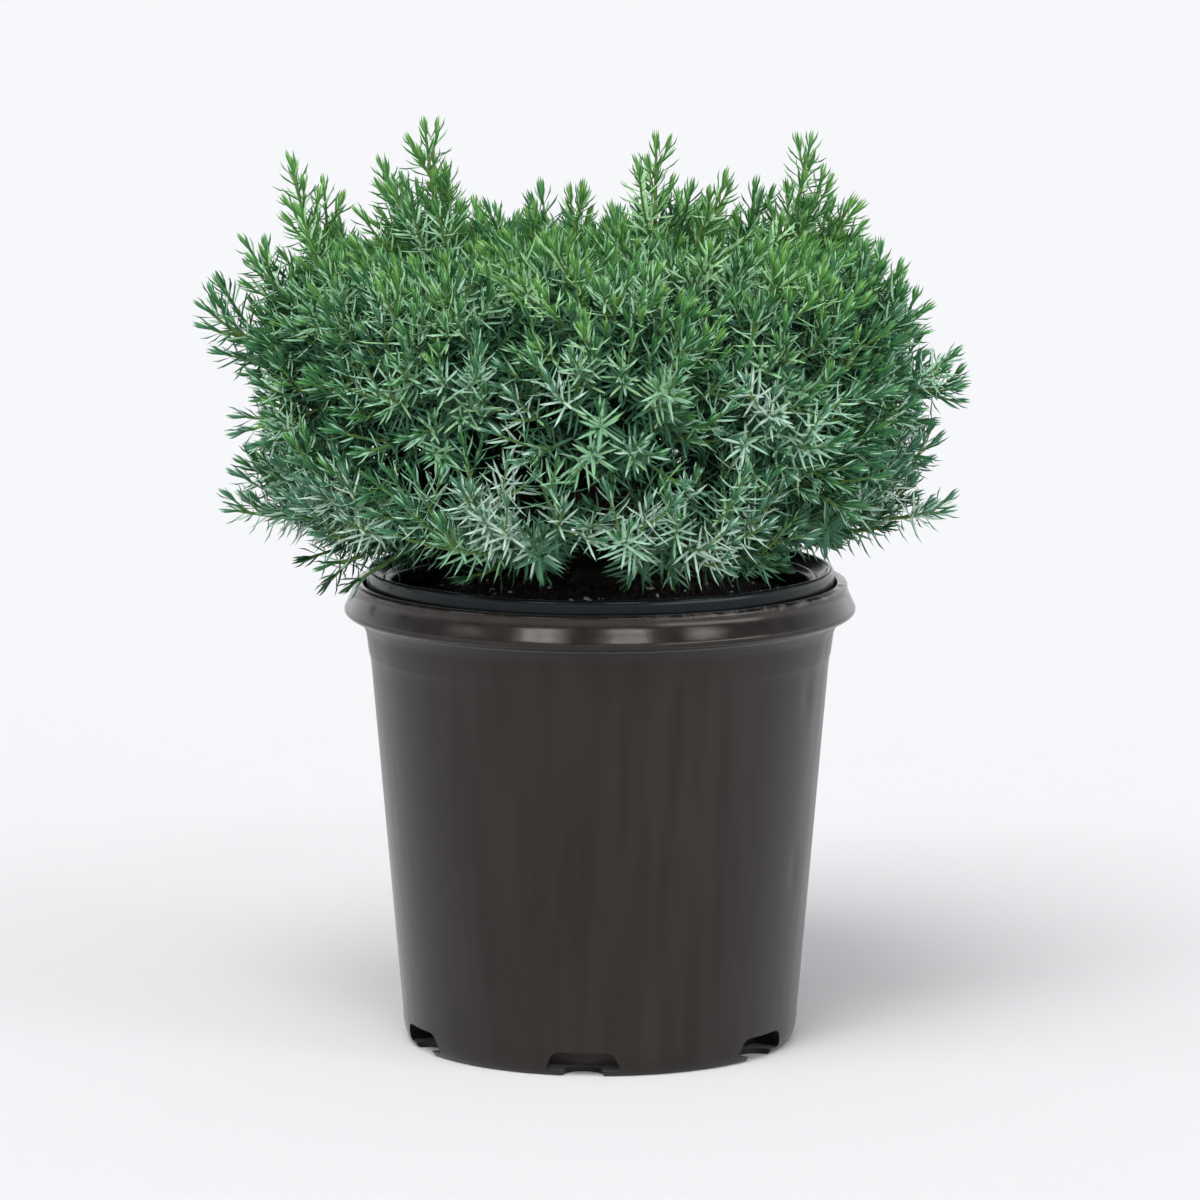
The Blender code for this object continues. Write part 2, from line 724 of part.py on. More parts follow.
def core_mesh(mass, own, space, rng):
    """The dense heart of a mass: a ball whose corners are drawn out unevenly, as far as a limit."""
    mesh = bpy.data.meshes.new("core")
    shape = bmesh.new()
    bmesh.ops.create_icosphere(shape, subdivisions=CORE_SUBDIVISIONS, radius=1.0)
    middle = mass.foot + mass.heading * (mass.reach * MASS_CORE_SHARE)

    def allowed(points):
        past_bough = (points - np.array(mass.foot)) @ mass.heading > GAP * 2
        return space.holds(points, own) and bool(past_bough.all())

    for corner in shape.verts:
        direction = corner.co.normalized()
        most = distance_to_outline(middle, direction) * CORE_SHARE * rng.uniform(CORE_LEAST, 1.0)
        size = CORE_SMALLEST
        while size + CORE_STEP < most and allowed(np.array([middle + direction * (size + CORE_STEP)])):
            size += CORE_STEP
        corner.co = middle + direction * size
    pressed = True
    while pressed:
        pressed = False
        for face in shape.faces:
            if not allowed(face_samples(face.verts)):
                pressed = True
                for corner in face.verts:
                    corner.co = middle + (corner.co - middle) * CORE_PRESS
    shape.to_mesh(mesh)
    shape.free()
    return mesh


def mass_stem_mesh(mass):
    """The stem inside a mass, from just off the bough's tip to the heart of the core."""
    length = mass.reach * MASS_STEM_SHARE
    foot, tip = mass.radii[-1], mass.radii[-1] * MASS_STEM_TAPER
    mesh = bpy.data.meshes.new("mass_stem")
    shape = bmesh.new()
    bmesh.ops.create_cone(
        shape, cap_ends=True, segments=MASS_STEM_SIDES, radius1=foot, radius2=tip, depth=length
    )
    turn = mass.heading.to_track_quat("Z", "Y").to_matrix().to_4x4()
    place = Matrix.Translation(mass.foot + mass.heading * (length / 2)) @ turn
    bmesh.ops.transform(shape, matrix=place, verts=shape.verts)
    shape.to_mesh(mesh)
    shape.free()
    return mesh


def keep_outer_shell(mesh):
    """Drops the loose scraps and fills the sealed hollows that a union can leave."""
    shape = bmesh.new()
    shape.from_mesh(mesh)
    left = set(shape.faces)
    shells = []
    while left:
        shell, edge = [], [left.pop()]
        while edge:
            face = edge.pop()
            shell.append(face)
            for side in face.edges:
                for other in side.link_faces:
                    if other in left:
                        left.remove(other)
                        edge.append(other)
        shells.append(shell)
    shells.sort(key=len)
    for shell in shells[:-1]:
        bmesh.ops.delete(shape, geom=shell, context="FACES")
    shape.to_mesh(mesh)
    shape.free()


def build_foliage(mass, own, space, targets, rng, collection, material):
    """Fuses a mass's core, stem and shoots into one solid."""
    foliage = add_object(mass.foliage_name, core_mesh(mass, own, space, rng), collection, material)
    shoots = make_collection("shoots")
    add_object("mass_stem", mass_stem_mesh(mass), shoots)
    for target in targets:
        shoot = grow_shoot(mass, own, space, target, rng)
        if shoot is not None:
            add_object("shoot", shoot.mesh("shoot"), shoots)
    add_boolean(foliage, "UNION", shoots)
    apply_modifiers(foliage)
    remove_collection(shoots)
    keep_outer_shell(foliage.data)
    return foliage


def build_plant(collection):
    bark, needles = make_material("bark"), make_material("needles")
    limb(
        "stem",
        [stem_point(height) for height, _ in STEM_STATIONS],
        [radius for _, radius in STEM_STATIONS],
        STEM_BEVEL_STEPS,
        collection,
        bark,
    )
    masses = [Mass(tier, index) for tier in TIERS for index in range(tier.count) if index not in tier.missing]
    for mass in masses:
        limb(mass.bough_name, mass.path, mass.radii, BOUGH_BEVEL_STEPS, collection, bark)
    space = Space(masses)
    rng = random.Random(SEED)
    targets = [[] for _ in space.sites]
    for leader in LEADERS:
        targets[space.nearest(leader)].append(Vector(leader))
    for point in outline_points(SHOOT_COUNT):
        share = rng.uniform(*SHOOT_REACH)
        own = space.nearest(point)
        if own < len(masses):
            targets[own].append(masses[own].foot + (point - masses[own].foot) * share)
    for own, mass in enumerate(masses):
        build_foliage(mass, own, space, targets[own], rng, collection, needles)


def main():
    clear_scene()
    collection = make_collection("potted_juniper")
    cutters = make_collection("cutters")
    build_pot(collection, cutters)
    build_liner(collection)
    build_mix(collection)
    build_plant(collection)


if __name__ == "__main__":
    main()
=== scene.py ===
"""The looks of a potted juniper: nursery pot, liner, potting mix, bark, twigs and needles.

Metres, +Z up, the origin in the middle of the pot's underside. Azimuth 0 faces the front, -Y, and 90
faces +X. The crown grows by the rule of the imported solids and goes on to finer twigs: each mass of
foliage sends branches to the crown's outline, branches carry side shoots, and side shoots carry
shootlets. Geometry Nodes turn those lines into twigs and set whorls of three needles along them.
"""

import logging
import math
import random
from dataclasses import dataclass, field
from enum import Enum
from typing import Any, Iterable, Sequence

import bmesh
import bpy
import numpy as np
from mathutils import Matrix, Vector, noise


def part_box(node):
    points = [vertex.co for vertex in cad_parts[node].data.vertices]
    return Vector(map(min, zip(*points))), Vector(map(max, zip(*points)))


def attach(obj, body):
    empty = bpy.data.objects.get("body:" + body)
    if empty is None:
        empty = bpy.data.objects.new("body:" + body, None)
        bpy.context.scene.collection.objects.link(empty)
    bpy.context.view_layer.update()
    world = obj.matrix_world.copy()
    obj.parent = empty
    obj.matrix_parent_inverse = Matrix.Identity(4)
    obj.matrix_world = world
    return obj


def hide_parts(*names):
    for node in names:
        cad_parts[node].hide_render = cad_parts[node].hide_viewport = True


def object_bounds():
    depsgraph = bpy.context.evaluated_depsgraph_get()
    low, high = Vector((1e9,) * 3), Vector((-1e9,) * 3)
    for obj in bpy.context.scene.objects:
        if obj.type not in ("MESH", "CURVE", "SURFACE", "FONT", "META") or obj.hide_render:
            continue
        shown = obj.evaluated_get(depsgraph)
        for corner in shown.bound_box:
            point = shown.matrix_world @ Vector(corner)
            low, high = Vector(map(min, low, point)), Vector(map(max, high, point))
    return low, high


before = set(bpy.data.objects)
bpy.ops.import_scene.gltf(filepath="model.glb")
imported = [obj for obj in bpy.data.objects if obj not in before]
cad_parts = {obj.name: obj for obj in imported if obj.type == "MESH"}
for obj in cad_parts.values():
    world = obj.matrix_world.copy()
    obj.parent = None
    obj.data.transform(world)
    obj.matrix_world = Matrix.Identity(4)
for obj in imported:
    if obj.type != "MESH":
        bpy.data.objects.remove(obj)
cad_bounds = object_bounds()

log = logging.getLogger("potted_juniper")

BODY = "root"
GAP = 0.0003
MERGE = 0.00002
UP = Vector((0.0, 0.0, 1.0))
GOLDEN_ANGLE = math.pi * (3.0 - math.sqrt(5.0))
MM = 0.001

Outline = list[tuple[float, float]]


# --- Node trees --------------------------------------------------------------------------------


MATH = "ShaderNodeMath"
VECTOR_MATH = "ShaderNodeVectorMath"
RANGE = "ShaderNodeMapRange"
NOISE = "ShaderNodeTexNoise"
COMPARE = "FunctionNodeCompare"
LOGIC = "FunctionNodeBooleanMath"
RANDOM = "FunctionNodeRandomValue"

Socket = bpy.types.NodeSocket


class Nodes:
    """A shader or geometry tree under construction."""

    def __init__(self, tree: bpy.types.NodeTree) -> None:
        """Takes the tree that the nodes go into."""
        self.tree = tree

    def add(
        self, kind: str, inputs: dict[str | int, Any] | None = None, output: str | int = 0, **settings: Any
    ) -> Socket:
        """Adds a node with its settings and links.

        Args:
            kind: The node's type name.
            inputs: Values or output sockets for the node's inputs, by name or number.
            output: Name or number of the output wanted.
            settings: Properties of the node.

        Returns:
            That output's socket.
        """
        node = self.tree.nodes.new(kind)
        for name, value in settings.items():
            setattr(node, name, value)
        for key, value in (inputs or {}).items():
            if isinstance(value, Socket):
                self.tree.links.new(value, node.inputs[key])
            else:
                node.inputs[key].default_value = value
        return node.outputs[output]


SOCKET_KINDS = {float: "NodeSocketFloat", int: "NodeSocketInt", bpy.types.Object: "NodeSocketObject"}


class Recipe(Nodes):
    """A Geometry Nodes tree with named inputs, and the way to run it on a carrier object."""

    def __init__(self, name: str, sizes: dict[str, Any]) -> None:
        """Starts the tree.

        Args:
            name: The tree's name.
            sizes: The tree's inputs by name, with the value that each is given.
        """
        super().__init__(bpy.data.node_groups.new(name, "GeometryNodeTree"))
        self.values: dict[str, Any] = {}
        interface = self.tree.interface
        interface.new_socket("Geometry", in_out="INPUT", socket_type="NodeSocketGeometry")
        interface.new_socket("Geometry", in_out="OUTPUT", socket_type="NodeSocketGeometry")
        for label, value in sizes.items():
            socket = interface.new_socket(label, in_out="INPUT", socket_type=SOCKET_KINDS[type(value)])
            self.values[socket.identifier] = value
        self.inputs = self.add("NodeGroupInput").node.outputs

    def attribute(self, name: str, kind: str = "FLOAT") -> Socket:
        """The socket that reads a named attribute of the carrier."""
        return self.add("GeometryNodeInputNamedAttribute", {"Name": name}, data_type=kind)

    def finish(self, geometry: Socket) -> None:
        """Links the last geometry to the tree's output."""
        self.tree.links.new(geometry, self.tree.nodes.new("NodeGroupOutput").inputs[0])

    def run(self, carrier: bpy.types.Object, name: str) -> bpy.types.Object:
        """Runs the tree on a carrier, which is used up.

        Args:
            carrier: The object whose mesh the tree reads.
            name: Name of the piece to make.

        Returns:
            A new object with the result as a plain mesh.
        """
        modifier = carrier.modifiers.new("recipe", "NODES")
        modifier.node_group = self.tree
        for identifier, value in self.values.items():
            modifier[identifier] = value
        return made_plain(carrier, name)


def made_plain(carrier: bpy.types.Object, name: str) -> bpy.types.Object:
    """Turns an object with modifiers into one with a plain mesh.

    Args:
        carrier: The object to evaluate, which is removed.
        name: Name of the new object and its mesh.

    Returns:
        The new object.
    """
    graph = bpy.context.evaluated_depsgraph_get()
    mesh = bpy.data.meshes.new_from_object(carrier.evaluated_get(graph))
    bpy.data.objects.remove(carrier)
    for label in CARRIER_ATTRIBUTES:
        if label in mesh.attributes:
            mesh.attributes.remove(mesh.attributes[label])
    mesh.name = name
    return new_object(name, mesh)


def new_object(name: str, mesh: bpy.types.Mesh) -> bpy.types.Object:
    """Links a new object to the scene.

    Args:
        name: Name of the object.
        mesh: Its mesh.

    Returns:
        The new object.
    """
    piece = bpy.data.objects.new(name, mesh)
    bpy.context.scene.collection.objects.link(piece)
    return piece


def declare(piece: bpy.types.Object, nodes: Iterable[str]) -> None:
    """Tells the frame what a finished piece is.

    Args:
        piece: The finished piece.
        nodes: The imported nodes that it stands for.
    """
    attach(piece, BODY)
    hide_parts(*nodes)
    piece.data.calc_loop_triangles()
    log.info("%s: %d triangles", piece.name, len(piece.data.loop_triangles))


# --- Finishes ----------------------------------------------------------------------------------


def linear(code: str) -> tuple[float, float, float, float]:
    """Linear RGBA of an sRGB hex colour.

    Args:
        code: Six hex digits.

    Returns:
        Red, green, blue and an alpha of 1.
    """
    parts = [int(code[at : at + 2], 16) / 255 for at in (0, 2, 4)]
    red, green, blue = (p / 12.92 if p <= 0.04045 else ((p + 0.055) / 1.055) ** 2.4 for p in parts)
    return red, green, blue, 1.0


def new_material(name: str, roughness: float, ior: float) -> tuple[bpy.types.Material, bpy.types.Node]:
    """A new material and its Principled shader, with the values that don't change over the surface.

    Args:
        name: The material's name.
        roughness: Roughness of the surface.
        ior: Index of refraction.

    Returns:
        The material and its shader node.
    """
    material = bpy.data.materials.new(name)
    material.use_nodes = True
    shader = material.node_tree.nodes["Principled BSDF"]
    shader.inputs["Roughness"].default_value = roughness
    shader.inputs["IOR"].default_value = ior
    return material, shader


@dataclass(frozen=True)
class MouldedPlastic:
    """Moulded polypropylene: satin, faintly uneven, rubbed grey along its top edge.

    The mould leaves orange peel and faint upright streaks, and those break up the sheen.
    """

    name: str
    colour: str
    rubbed_colour: str
    roughness: float
    rubbed_above: float  # height from which the edge is rubbed
    sheen: str  # colour that its gloss takes on
    polished_above: float  # height from which the mould was polished
    gloss: float  # how strongly it mirrors, 0.5 for a freshly moulded one
    ior: float = 1.49
    polish: float = 0.50  # roughness above that height as a share of the rest
    dust: float = 0.20  # pale film that shows where the wall turns away
    dust_roughness: float = 0.35
    wiped: float = 0.30  # dust left above the polished height, as a share of the rest
    peel: float = 1.4 * MM  # size of the orange peel that the mould leaves
    peel_depth: float = 0.1 * MM
    peel_strength: float = 0.12
    streak: float = 6.0 * MM  # width of the faint upright streaks
    streak_squash: float = 0.06  # their width as a share of their length
    streak_noise: tuple[float, float] = (0.3, 0.7)  # values of the noise between which they run
    streak_roughness: tuple[float, float] = (-0.04, 0.07)  # what they add to the roughness
    streak_shade: float = 0.05  # how far they turn the colour towards the rubbed one
    scuff: float = 5.0 * MM  # size of the scuffs
    scuff_noise: tuple[float, float] = (0.46, 0.62)  # values of the noise between which one sets in
    scuff_roughness: float = 0.25  # what a scuff adds to the roughness
    rubbed_over: float = 2.0 * MM  # height over which the rubbing sets in
    handled_side: tuple[float, float] = (0.01, 0.06)  # X over which the scuffs set in
    handled_least: float = 0.12  # strength of the scuffs on the other side

    def material(self) -> bpy.types.Material:
        """Builds the material: its sheen breaks up along the mould's streaks, and wear shows on the lip.

        Returns:
            The material.
        """
        material, shader = new_material(self.name, self.roughness, self.ior)
        shader.inputs["Specular IOR Level"].default_value = self.gloss
        shader.inputs["Specular Tint"].default_value = linear(self.sheen)
        shader.inputs["Sheen Roughness"].default_value = self.dust_roughness
        add, link = Nodes(material.node_tree).add, material.node_tree.links.new
        place = add("ShaderNodeTexCoord", output="Object")
        parts = add("ShaderNodeSeparateXYZ", {0: place}).node.outputs
        upright = add("ShaderNodeMapping", {"Vector": place, "Scale": (1.0, 1.0, self.streak_squash)})
        streaks = add(NOISE, {"Vector": upright, "Scale": 1 / self.streak, "Detail": 4.0})
        scuffs = add(NOISE, {"Vector": place, "Scale": 1 / self.scuff, "Detail": 6.0, "Roughness": 0.7})
        rubbed = (self.rubbed_above, self.rubbed_above + self.rubbed_over)
        polished = (self.polished_above, self.polished_above + MM)
        roughness = [self.roughness + change for change in self.streak_roughness]
        # Each row: what is read, the values between which it runs, and the results at either end
        uneven, near_top, patches, handled, shade, polish, film = (
            add(RANGE, {"Value": value, "From Min": start, "From Max": end, "To Min": low, "To Max": high})
            for value, (start, end), (low, high) in (
                (streaks, self.streak_noise, roughness),
                (parts["Z"], rubbed, (0.0, 1.0)),
                (scuffs, self.scuff_noise, (0.0, 1.0)),
                (parts["X"], self.handled_side, (self.handled_least, 1.0)),
                (streaks, self.streak_noise, (0.0, self.streak_shade)),
                (parts["Z"], polished, (1.0, self.polish)),
                (parts["Z"], polished, (self.dust, self.dust * self.wiped)),
            )
        )
        edge = add(MATH, {0: near_top, 1: handled}, operation="MULTIPLY")
        wear = add(MATH, {0: edge, 1: patches}, operation="MULTIPLY")
        grey = add(MATH, {0: wear, 1: shade}, operation="MAXIMUM")
        colour = add(
            "ShaderNodeMix", {0: grey, 6: linear(self.colour), 7: linear(self.rubbed_colour)}, 2,
            data_type="RGBA",
        )
        worn = add(MATH, {0: wear, 1: self.scuff_roughness, 2: uneven}, operation="MULTIPLY_ADD")
        rough = add(MATH, {0: worn, 1: polish}, operation="MULTIPLY")
        peel = add(NOISE, {"Vector": place, "Scale": 1 / self.peel, "Detail": 2.0})
        bump = add(
            "ShaderNodeBump", {"Strength": self.peel_strength, "Distance": self.peel_depth, "Height": peel}
        )
        link(colour, shader.inputs["Base Color"])
        link(rough, shader.inputs["Roughness"])
        link(film, shader.inputs["Sheen Weight"])
        link(bump, shader.inputs["Normal"])
        return material


@dataclass(frozen=True)
class Crumbly:
    """Something loose and matt, such as peat, bark or expanded mineral: mottled and pitted."""

    name: str
    dark: str
    light: str
    grain: float  # size of its mottling
    relief: float
    roughness: float = 0.92
    damp_below: float = 0.0  # height below which its colour is painted dark: painted shade, as under the crown
    damp_over: float = 20.0 * MM  # height over which that painted shade fades out
    ior: float = 1.45
    mottle_noise: tuple[float, float] = (0.38, 0.66)  # values of the noise between which the colours mix
    pit_strength: float = 0.6

    def material(self) -> bpy.types.Material:
        """Builds the material: two colours that mix grain by grain, pits that catch the light, and painted
        shade low down.

        Returns:
            The material.
        """
        material, shader = new_material(self.name, self.roughness, self.ior)
        add, link = Nodes(material.node_tree).add, material.node_tree.links.new
        place = add("ShaderNodeTexCoord", output="Object")
        height = add("ShaderNodeSeparateXYZ", {0: place}, "Z")
        grains = add(NOISE, {"Vector": place, "Scale": 1 / self.grain, "Detail": 5.0, "Roughness": 0.65})
        mottle, unshaded = (
            add(RANGE, {"Value": value, "From Min": start, "From Max": end})
            for value, (start, end) in (
                (grains, self.mottle_noise), (height, (self.damp_below, self.damp_below + self.damp_over))
            )
        )
        # low down the colour is pulled towards the dark one: painted shade
        share = add(MATH, {0: mottle, 1: unshaded}, operation="MULTIPLY")
        colour = add(
            "ShaderNodeMix", {0: share, 6: linear(self.dark), 7: linear(self.light)}, 2, data_type="RGBA"
        )
        bump = add(
            "ShaderNodeBump", {"Strength": self.pit_strength, "Distance": self.relief, "Height": grains}
        )
        link(colour, shader.inputs["Base Color"])
        link(bump, shader.inputs["Normal"])
        return material


@dataclass(frozen=True)
class WaxedLeaf:
    """One side of a needle, or a green twig: leaf skin under a bloom of wax, in one plain colour.

    The tints of neighbouring sprays and the two sides of each needle give the crown its play of colour; two
    of the tints are painted shade.
    """

    name: str
    colour: str
    roughness: float
    ior: float = 1.42
    gloss: float = 0.35  # how strongly it mirrors, 0.5 for a skin without a bloom

    def material(self) -> bpy.types.Material:
        """Builds the material: wax spreads the light, so the skin looks soft rather than glossy.

        Returns:
            The material.
        """
        material, shader = new_material(self.name, self.roughness, self.ior)
        shader.inputs["Base Color"].default_value = linear(self.colour)
        shader.inputs["Specular IOR Level"].default_value = self.gloss
        return material


class Tint(Enum):
    """Colour of a spray: upper side, under side and bud of its needles. DIM and SHADED are darker copies of
    the lit tints: painted shade.
    """

    SILVER = ("BAD6C4", "3E6C52", "568C6A")
    SEA = ("A4CEB2", "366A48", "4C8652")
    DEEP = ("8ABA94", "2A5C38", "447A40")
    LEAF = ("9AC6A0", "3D7244", "5E984E")
    FRESH = ("9CCA94", "488040", "72A450")
    # DIM: painted shade, a darker copy of the lit tints for sprays that get little light
    DIM = ("4E7C5E", "1C4028", "2C5630")
    # SHADED: painted shade, a near-black copy for sprays deep in the crown and under its back
    SHADED = ("1E3828", "0A1810", "10200F")

    @property
    def number(self) -> int:
        """Place of the tint in the list, as the shoots carry it."""
        return list(Tint).index(self)


LIT_TINTS = (Tint.SILVER, Tint.SEA, Tint.DEEP, Tint.LEAF, Tint.FRESH)  # from the crown's foot to its top


# --- Turned pieces -----------------------------------------------------------------------------


def rounded(corners: Sequence[tuple[float, float, float]], steps: int = 4) -> Outline:
    """Rounds the corners of an open outline.

    Args:
        corners: Radius, height and rounding of each corner, in order.
        steps: Pieces in each rounded corner.

    Returns:
        Radius and height of each point of the rounded outline.
    """
    outline: Outline = []
    for index, (radius, height, rounding) in enumerate(corners):
        here = Vector((radius, height))
        if rounding == 0.0 or index in (0, len(corners) - 1):
            outline.append((radius, height))
            continue
        before = Vector(corners[index - 1][:2]) - here
        after = Vector(corners[index + 1][:2]) - here
        reach = min(rounding, before.length * 0.45, after.length * 0.45)
        start = here + before.normalized() * reach
        end = here + after.normalized() * reach
        for step in range(steps + 1):
            share = step / steps
            point = start * (1 - share) ** 2 + here * 2 * share * (1 - share) + end * share**2
            outline.append((point.x, point.y))
    return outline


def turned(name: str, outline: Outline, sides: int) -> bpy.types.Object:
    """A closed solid of revolution round Z.

    Args:
        name: Name of the object.
        outline: The outline from the axis over the inside, down the outside and back to the axis.
        sides: Number of steps round.

    Returns:
        The object, with a plain mesh.
    """
    mesh = bpy.data.meshes.new(name)
    points = [(radius, 0.0, height) for radius, height in outline]
    mesh.from_pydata(points, [(i, i + 1) for i in range(len(points) - 1)], [])
    carrier = new_object(name, mesh)
    screw = carrier.modifiers.new("turn", "SCREW")
    screw.axis = "Z"
    screw.angle = math.tau
    screw.steps = screw.render_steps = sides
    screw.use_merge_vertices = True
    screw.merge_threshold = MERGE
    screw.use_smooth_shade = True
    return made_plain(carrier, name)


def heading_vector(azimuth: float, elevation: float) -> Vector:
    """Unit vector at this azimuth and elevation, in degrees."""
    turn, rise = math.radians(azimuth), math.radians(elevation)
    return Vector((math.sin(turn) * math.cos(rise), -math.cos(turn) * math.cos(rise), math.sin(rise)))


def shade_smooth(mesh: bpy.types.Mesh, sharp_from: float) -> None:
    """Shades a mesh smooth but for edges sharper than an angle in degrees."""
    mesh.shade_smooth()
    mesh.set_sharp_from_angle(angle=math.radians(sharp_from))


@dataclass
class NurseryPot:
    """The outer pot: a tapering wall, a collar flared under the lip, and drain slots round the foot."""

    height: float
    lip_radius: float = 0.0797
    collar_radius: float = 0.0825
    collar_height: float = 0.1400
    neck_radius: float = 0.0748
    neck_height: float = 0.1334
    band_height: float = 0.1268  # a faint band runs round the wall below the neck, down to here
    band_step: float = 0.0004
    foot_radius: float = 0.0641
    foot_height: float = 0.0095
    ground_radius: float = 0.0610
    # Corners of the collar's outside and of the neck's, from the top down: how far each lies out and up
    # from the collar's or the neck's own radius and height, and its rounding
    collar_corners: tuple[tuple[float, float, float], ...] = (
        (-0.0009, 0.0034, 0.0030),
        (0.0000, 0.0014, 0.0012),
        (-0.0001, 0.0002, 0.0005),
        (-0.0012, -0.0008, 0.0006),
    )
    neck_corners: tuple[tuple[float, float, float], ...] = (
        (0.0030, 0.0046, 0.0018),
        (0.0010, 0.0012, 0.0014),
        (0.0006, -0.0004, 0.0010),
    )
    lip_flare: float = 0.0002  # how far the lip's side leans out
    lip_share: float = 0.30  # down to this share of the collar's depth
    foot_edge_steps: int = 8
    wall: float = 0.0016
    lip_width: float = 0.0034
    inner_foot_radius: float = 0.0500
    step_height: float = 0.0112
    pad_radius: float = 0.0110
    recess: float = 0.0025
    floor: float = 0.0050
    drains: int = 6
    drain_azimuth: float = -5.0
    drain_width_bottom: float = 0.0250
    drain_width_top: float = 0.0190
    drain_bottom: float = 0.0018
    drain_top: float = 0.0080
    drain_inner_radius: float = 0.0530
    drain_corner: float = 0.0019
    drain_corner_steps: int = 5
    bite_radius: float = 0.0065
    bite_sides: int = 40
    sides: int = 240
    wall_rows: int = 22
    dents: tuple[tuple[float, float], ...] = ((64.0, 0.1180), (65.0, 0.0600))  # azimuth, height
    dent_size: float = 0.0032
    dent_depth: float = 0.0006
    wave: float = 0.00012  # how far the wall strays from round
    wave_round: float = 2.2  # how fast the waves follow each other round the pot
    wave_up: float = 14.0  # and up it, by the metre
    rim_wave: float = 1.6  # how far the lip's edge strays, as a share of the wall's waves
    rim_wave_round: float = 7.0
    rim_depth: float = 0.003
    smooth_below: float = 38.0  # degrees between faces up to which the shading is smooth
    finish: MouldedPlastic = MouldedPlastic(
        "polypropylene_injection_moulded", "0B0907", "6A6663", 0.36, 0.1478, "FFF4EC", 0.1385, gloss=0.42
    )

    def wall_radius(self, height: float) -> float:
        """Outer radius of the tapering wall at a height."""
        share = (height - self.foot_height) / (self.neck_height - self.foot_height)
        return self.foot_radius + share * (self.neck_radius - self.foot_radius)

    def outline(self) -> Outline:
        """The pot's outline, from the axis over the inside, down the outside and back.

        Returns:
            Radius and height of each point.
        """
        bore = self.lip_radius - self.lip_width
        band = self.wall_radius(self.band_height)
        lip_foot = self.height - (self.height - self.collar_height) * self.lip_share
        corners = [
            (0.0, self.floor, 0.0),
            (self.inner_foot_radius, self.floor, 0.0006),
            (self.inner_foot_radius, self.step_height, 0.0006),
            (self.wall_radius(self.step_height) - self.wall, self.step_height, 0.0006),
            (self.neck_radius - self.wall, self.neck_height, 0.002),
            (bore, self.collar_height, 0.002),
            (bore, self.height, 0.0012),
            (self.lip_radius, self.height, 0.0013),
            (self.lip_radius + self.lip_flare, lip_foot, 0.002),
            *((self.collar_radius + out, self.collar_height + up, r) for out, up, r in self.collar_corners),
            *((self.neck_radius + out, self.neck_height + up, r) for out, up, r in self.neck_corners),
            (band + self.band_step, self.band_height, 0.0006),
            (band, self.band_height - 0.0010, 0.0008),
        ]
        outline = rounded(corners)
        for row in range(1, self.wall_rows):
            height = self.band_height + (self.foot_height - self.band_height) * row / self.wall_rows
            outline.append((self.wall_radius(height), height))
        for step in range(self.foot_edge_steps + 1):
            turn = math.pi / 2 * (1 - step / self.foot_edge_steps)
            radius = self.ground_radius + (self.foot_radius - self.ground_radius) * math.sin(turn)
            outline.append((radius, self.foot_height * (1 - math.cos(turn))))
        inner = self.inner_foot_radius
        outline += [
            (inner - 0.0006, 0.0),
            (inner - self.recess, self.recess),
            (self.pad_radius + self.recess, self.recess),
            (self.pad_radius, 0.0),
            (0.0, 0.0),
        ]
        return outline

    def slot_cutter(self) -> bmesh.types.BMesh:
        """The solid of one drain slot at azimuth 0: wider at its foot, with rounded corners.

        Returns:
            The solid, which the caller frees.
        """
        shape = bmesh.new()
        bmesh.ops.create_cube(shape, size=1.0)
        depth = self.collar_radius - self.drain_inner_radius
        for corner in shape.verts:
            width = self.drain_width_top if corner.co.z > 0 else self.drain_width_bottom
            height = self.drain_top if corner.co.z > 0 else self.drain_bottom
            out = self.drain_inner_radius + (corner.co.y + 0.5) * depth
            corner.co = Vector((corner.co.x * width, -out, height))
        bmesh.ops.recalc_face_normals(shape, faces=shape.faces)
        radial = [edge for edge in shape.edges if abs(edge.verts[0].co.y - edge.verts[1].co.y) > MERGE]
        bmesh.ops.bevel(
            shape, geom=radial, offset=self.drain_corner, segments=self.drain_corner_steps, profile=0.5,
            affect="EDGES",
        )
        return shape

    def bite_cutter(self) -> bmesh.types.BMesh:
        """The upright cylinder that bites into the floor's edge under a slot at azimuth 0.

        Returns:
            The cylinder, which the caller frees.
        """
        shape = bmesh.new()
        bmesh.ops.create_cone(
            shape, cap_ends=True, segments=self.bite_sides, radius1=self.bite_radius,
            radius2=self.bite_radius, depth=self.floor * 2,
            matrix=Matrix.Translation((0.0, -self.ground_radius, 0.0)),
        )
        return shape

    def drain_cutters(self) -> list[bpy.types.Object]:
        """The solids that cut the drain slots and the round bite under each.

        Returns:
            An object for each solid.
        """
        cutters = []
        for index in range(self.drains):
            azimuth = self.drain_azimuth + index * 360.0 / self.drains
            for shape in (self.slot_cutter(), self.bite_cutter()):
                turn = Matrix.Rotation(math.radians(azimuth), 3, "Z")
                bmesh.ops.rotate(shape, verts=shape.verts, matrix=turn)
                mesh = bpy.data.meshes.new("drain_cutter")
                shape.to_mesh(mesh)
                shape.free()
                cutters.append(new_object("drain_cutter", mesh))
        return cutters

    def strayed(self, point: Vector) -> Vector:
        """Where a point of the turned shape goes once the wall's waves and dents are in.

        Args:
            point: The point before.

        Returns:
            The point after.
        """
        radius = math.hypot(point.x, point.y)
        if radius < self.inner_foot_radius or point.z < self.foot_height:
            return point
        outward = Vector((point.x, point.y, 0.0)) / radius
        offset = self.wave * noise.noise(outward * self.wave_round + UP * (point.z * self.wave_up))
        for azimuth, height in self.dents:
            middle = heading_vector(azimuth, 0.0) * self.wall_radius(height) + UP * height
            offset -= self.dent_depth * math.exp(-(((point - middle).length / self.dent_size) ** 2))
        lift = 0.0
        if point.z > self.height - self.rim_depth:
            lift = self.wave * self.rim_wave * noise.noise(outward * self.rim_wave_round)
        return point + outward * offset + UP * min(lift, 0.0)

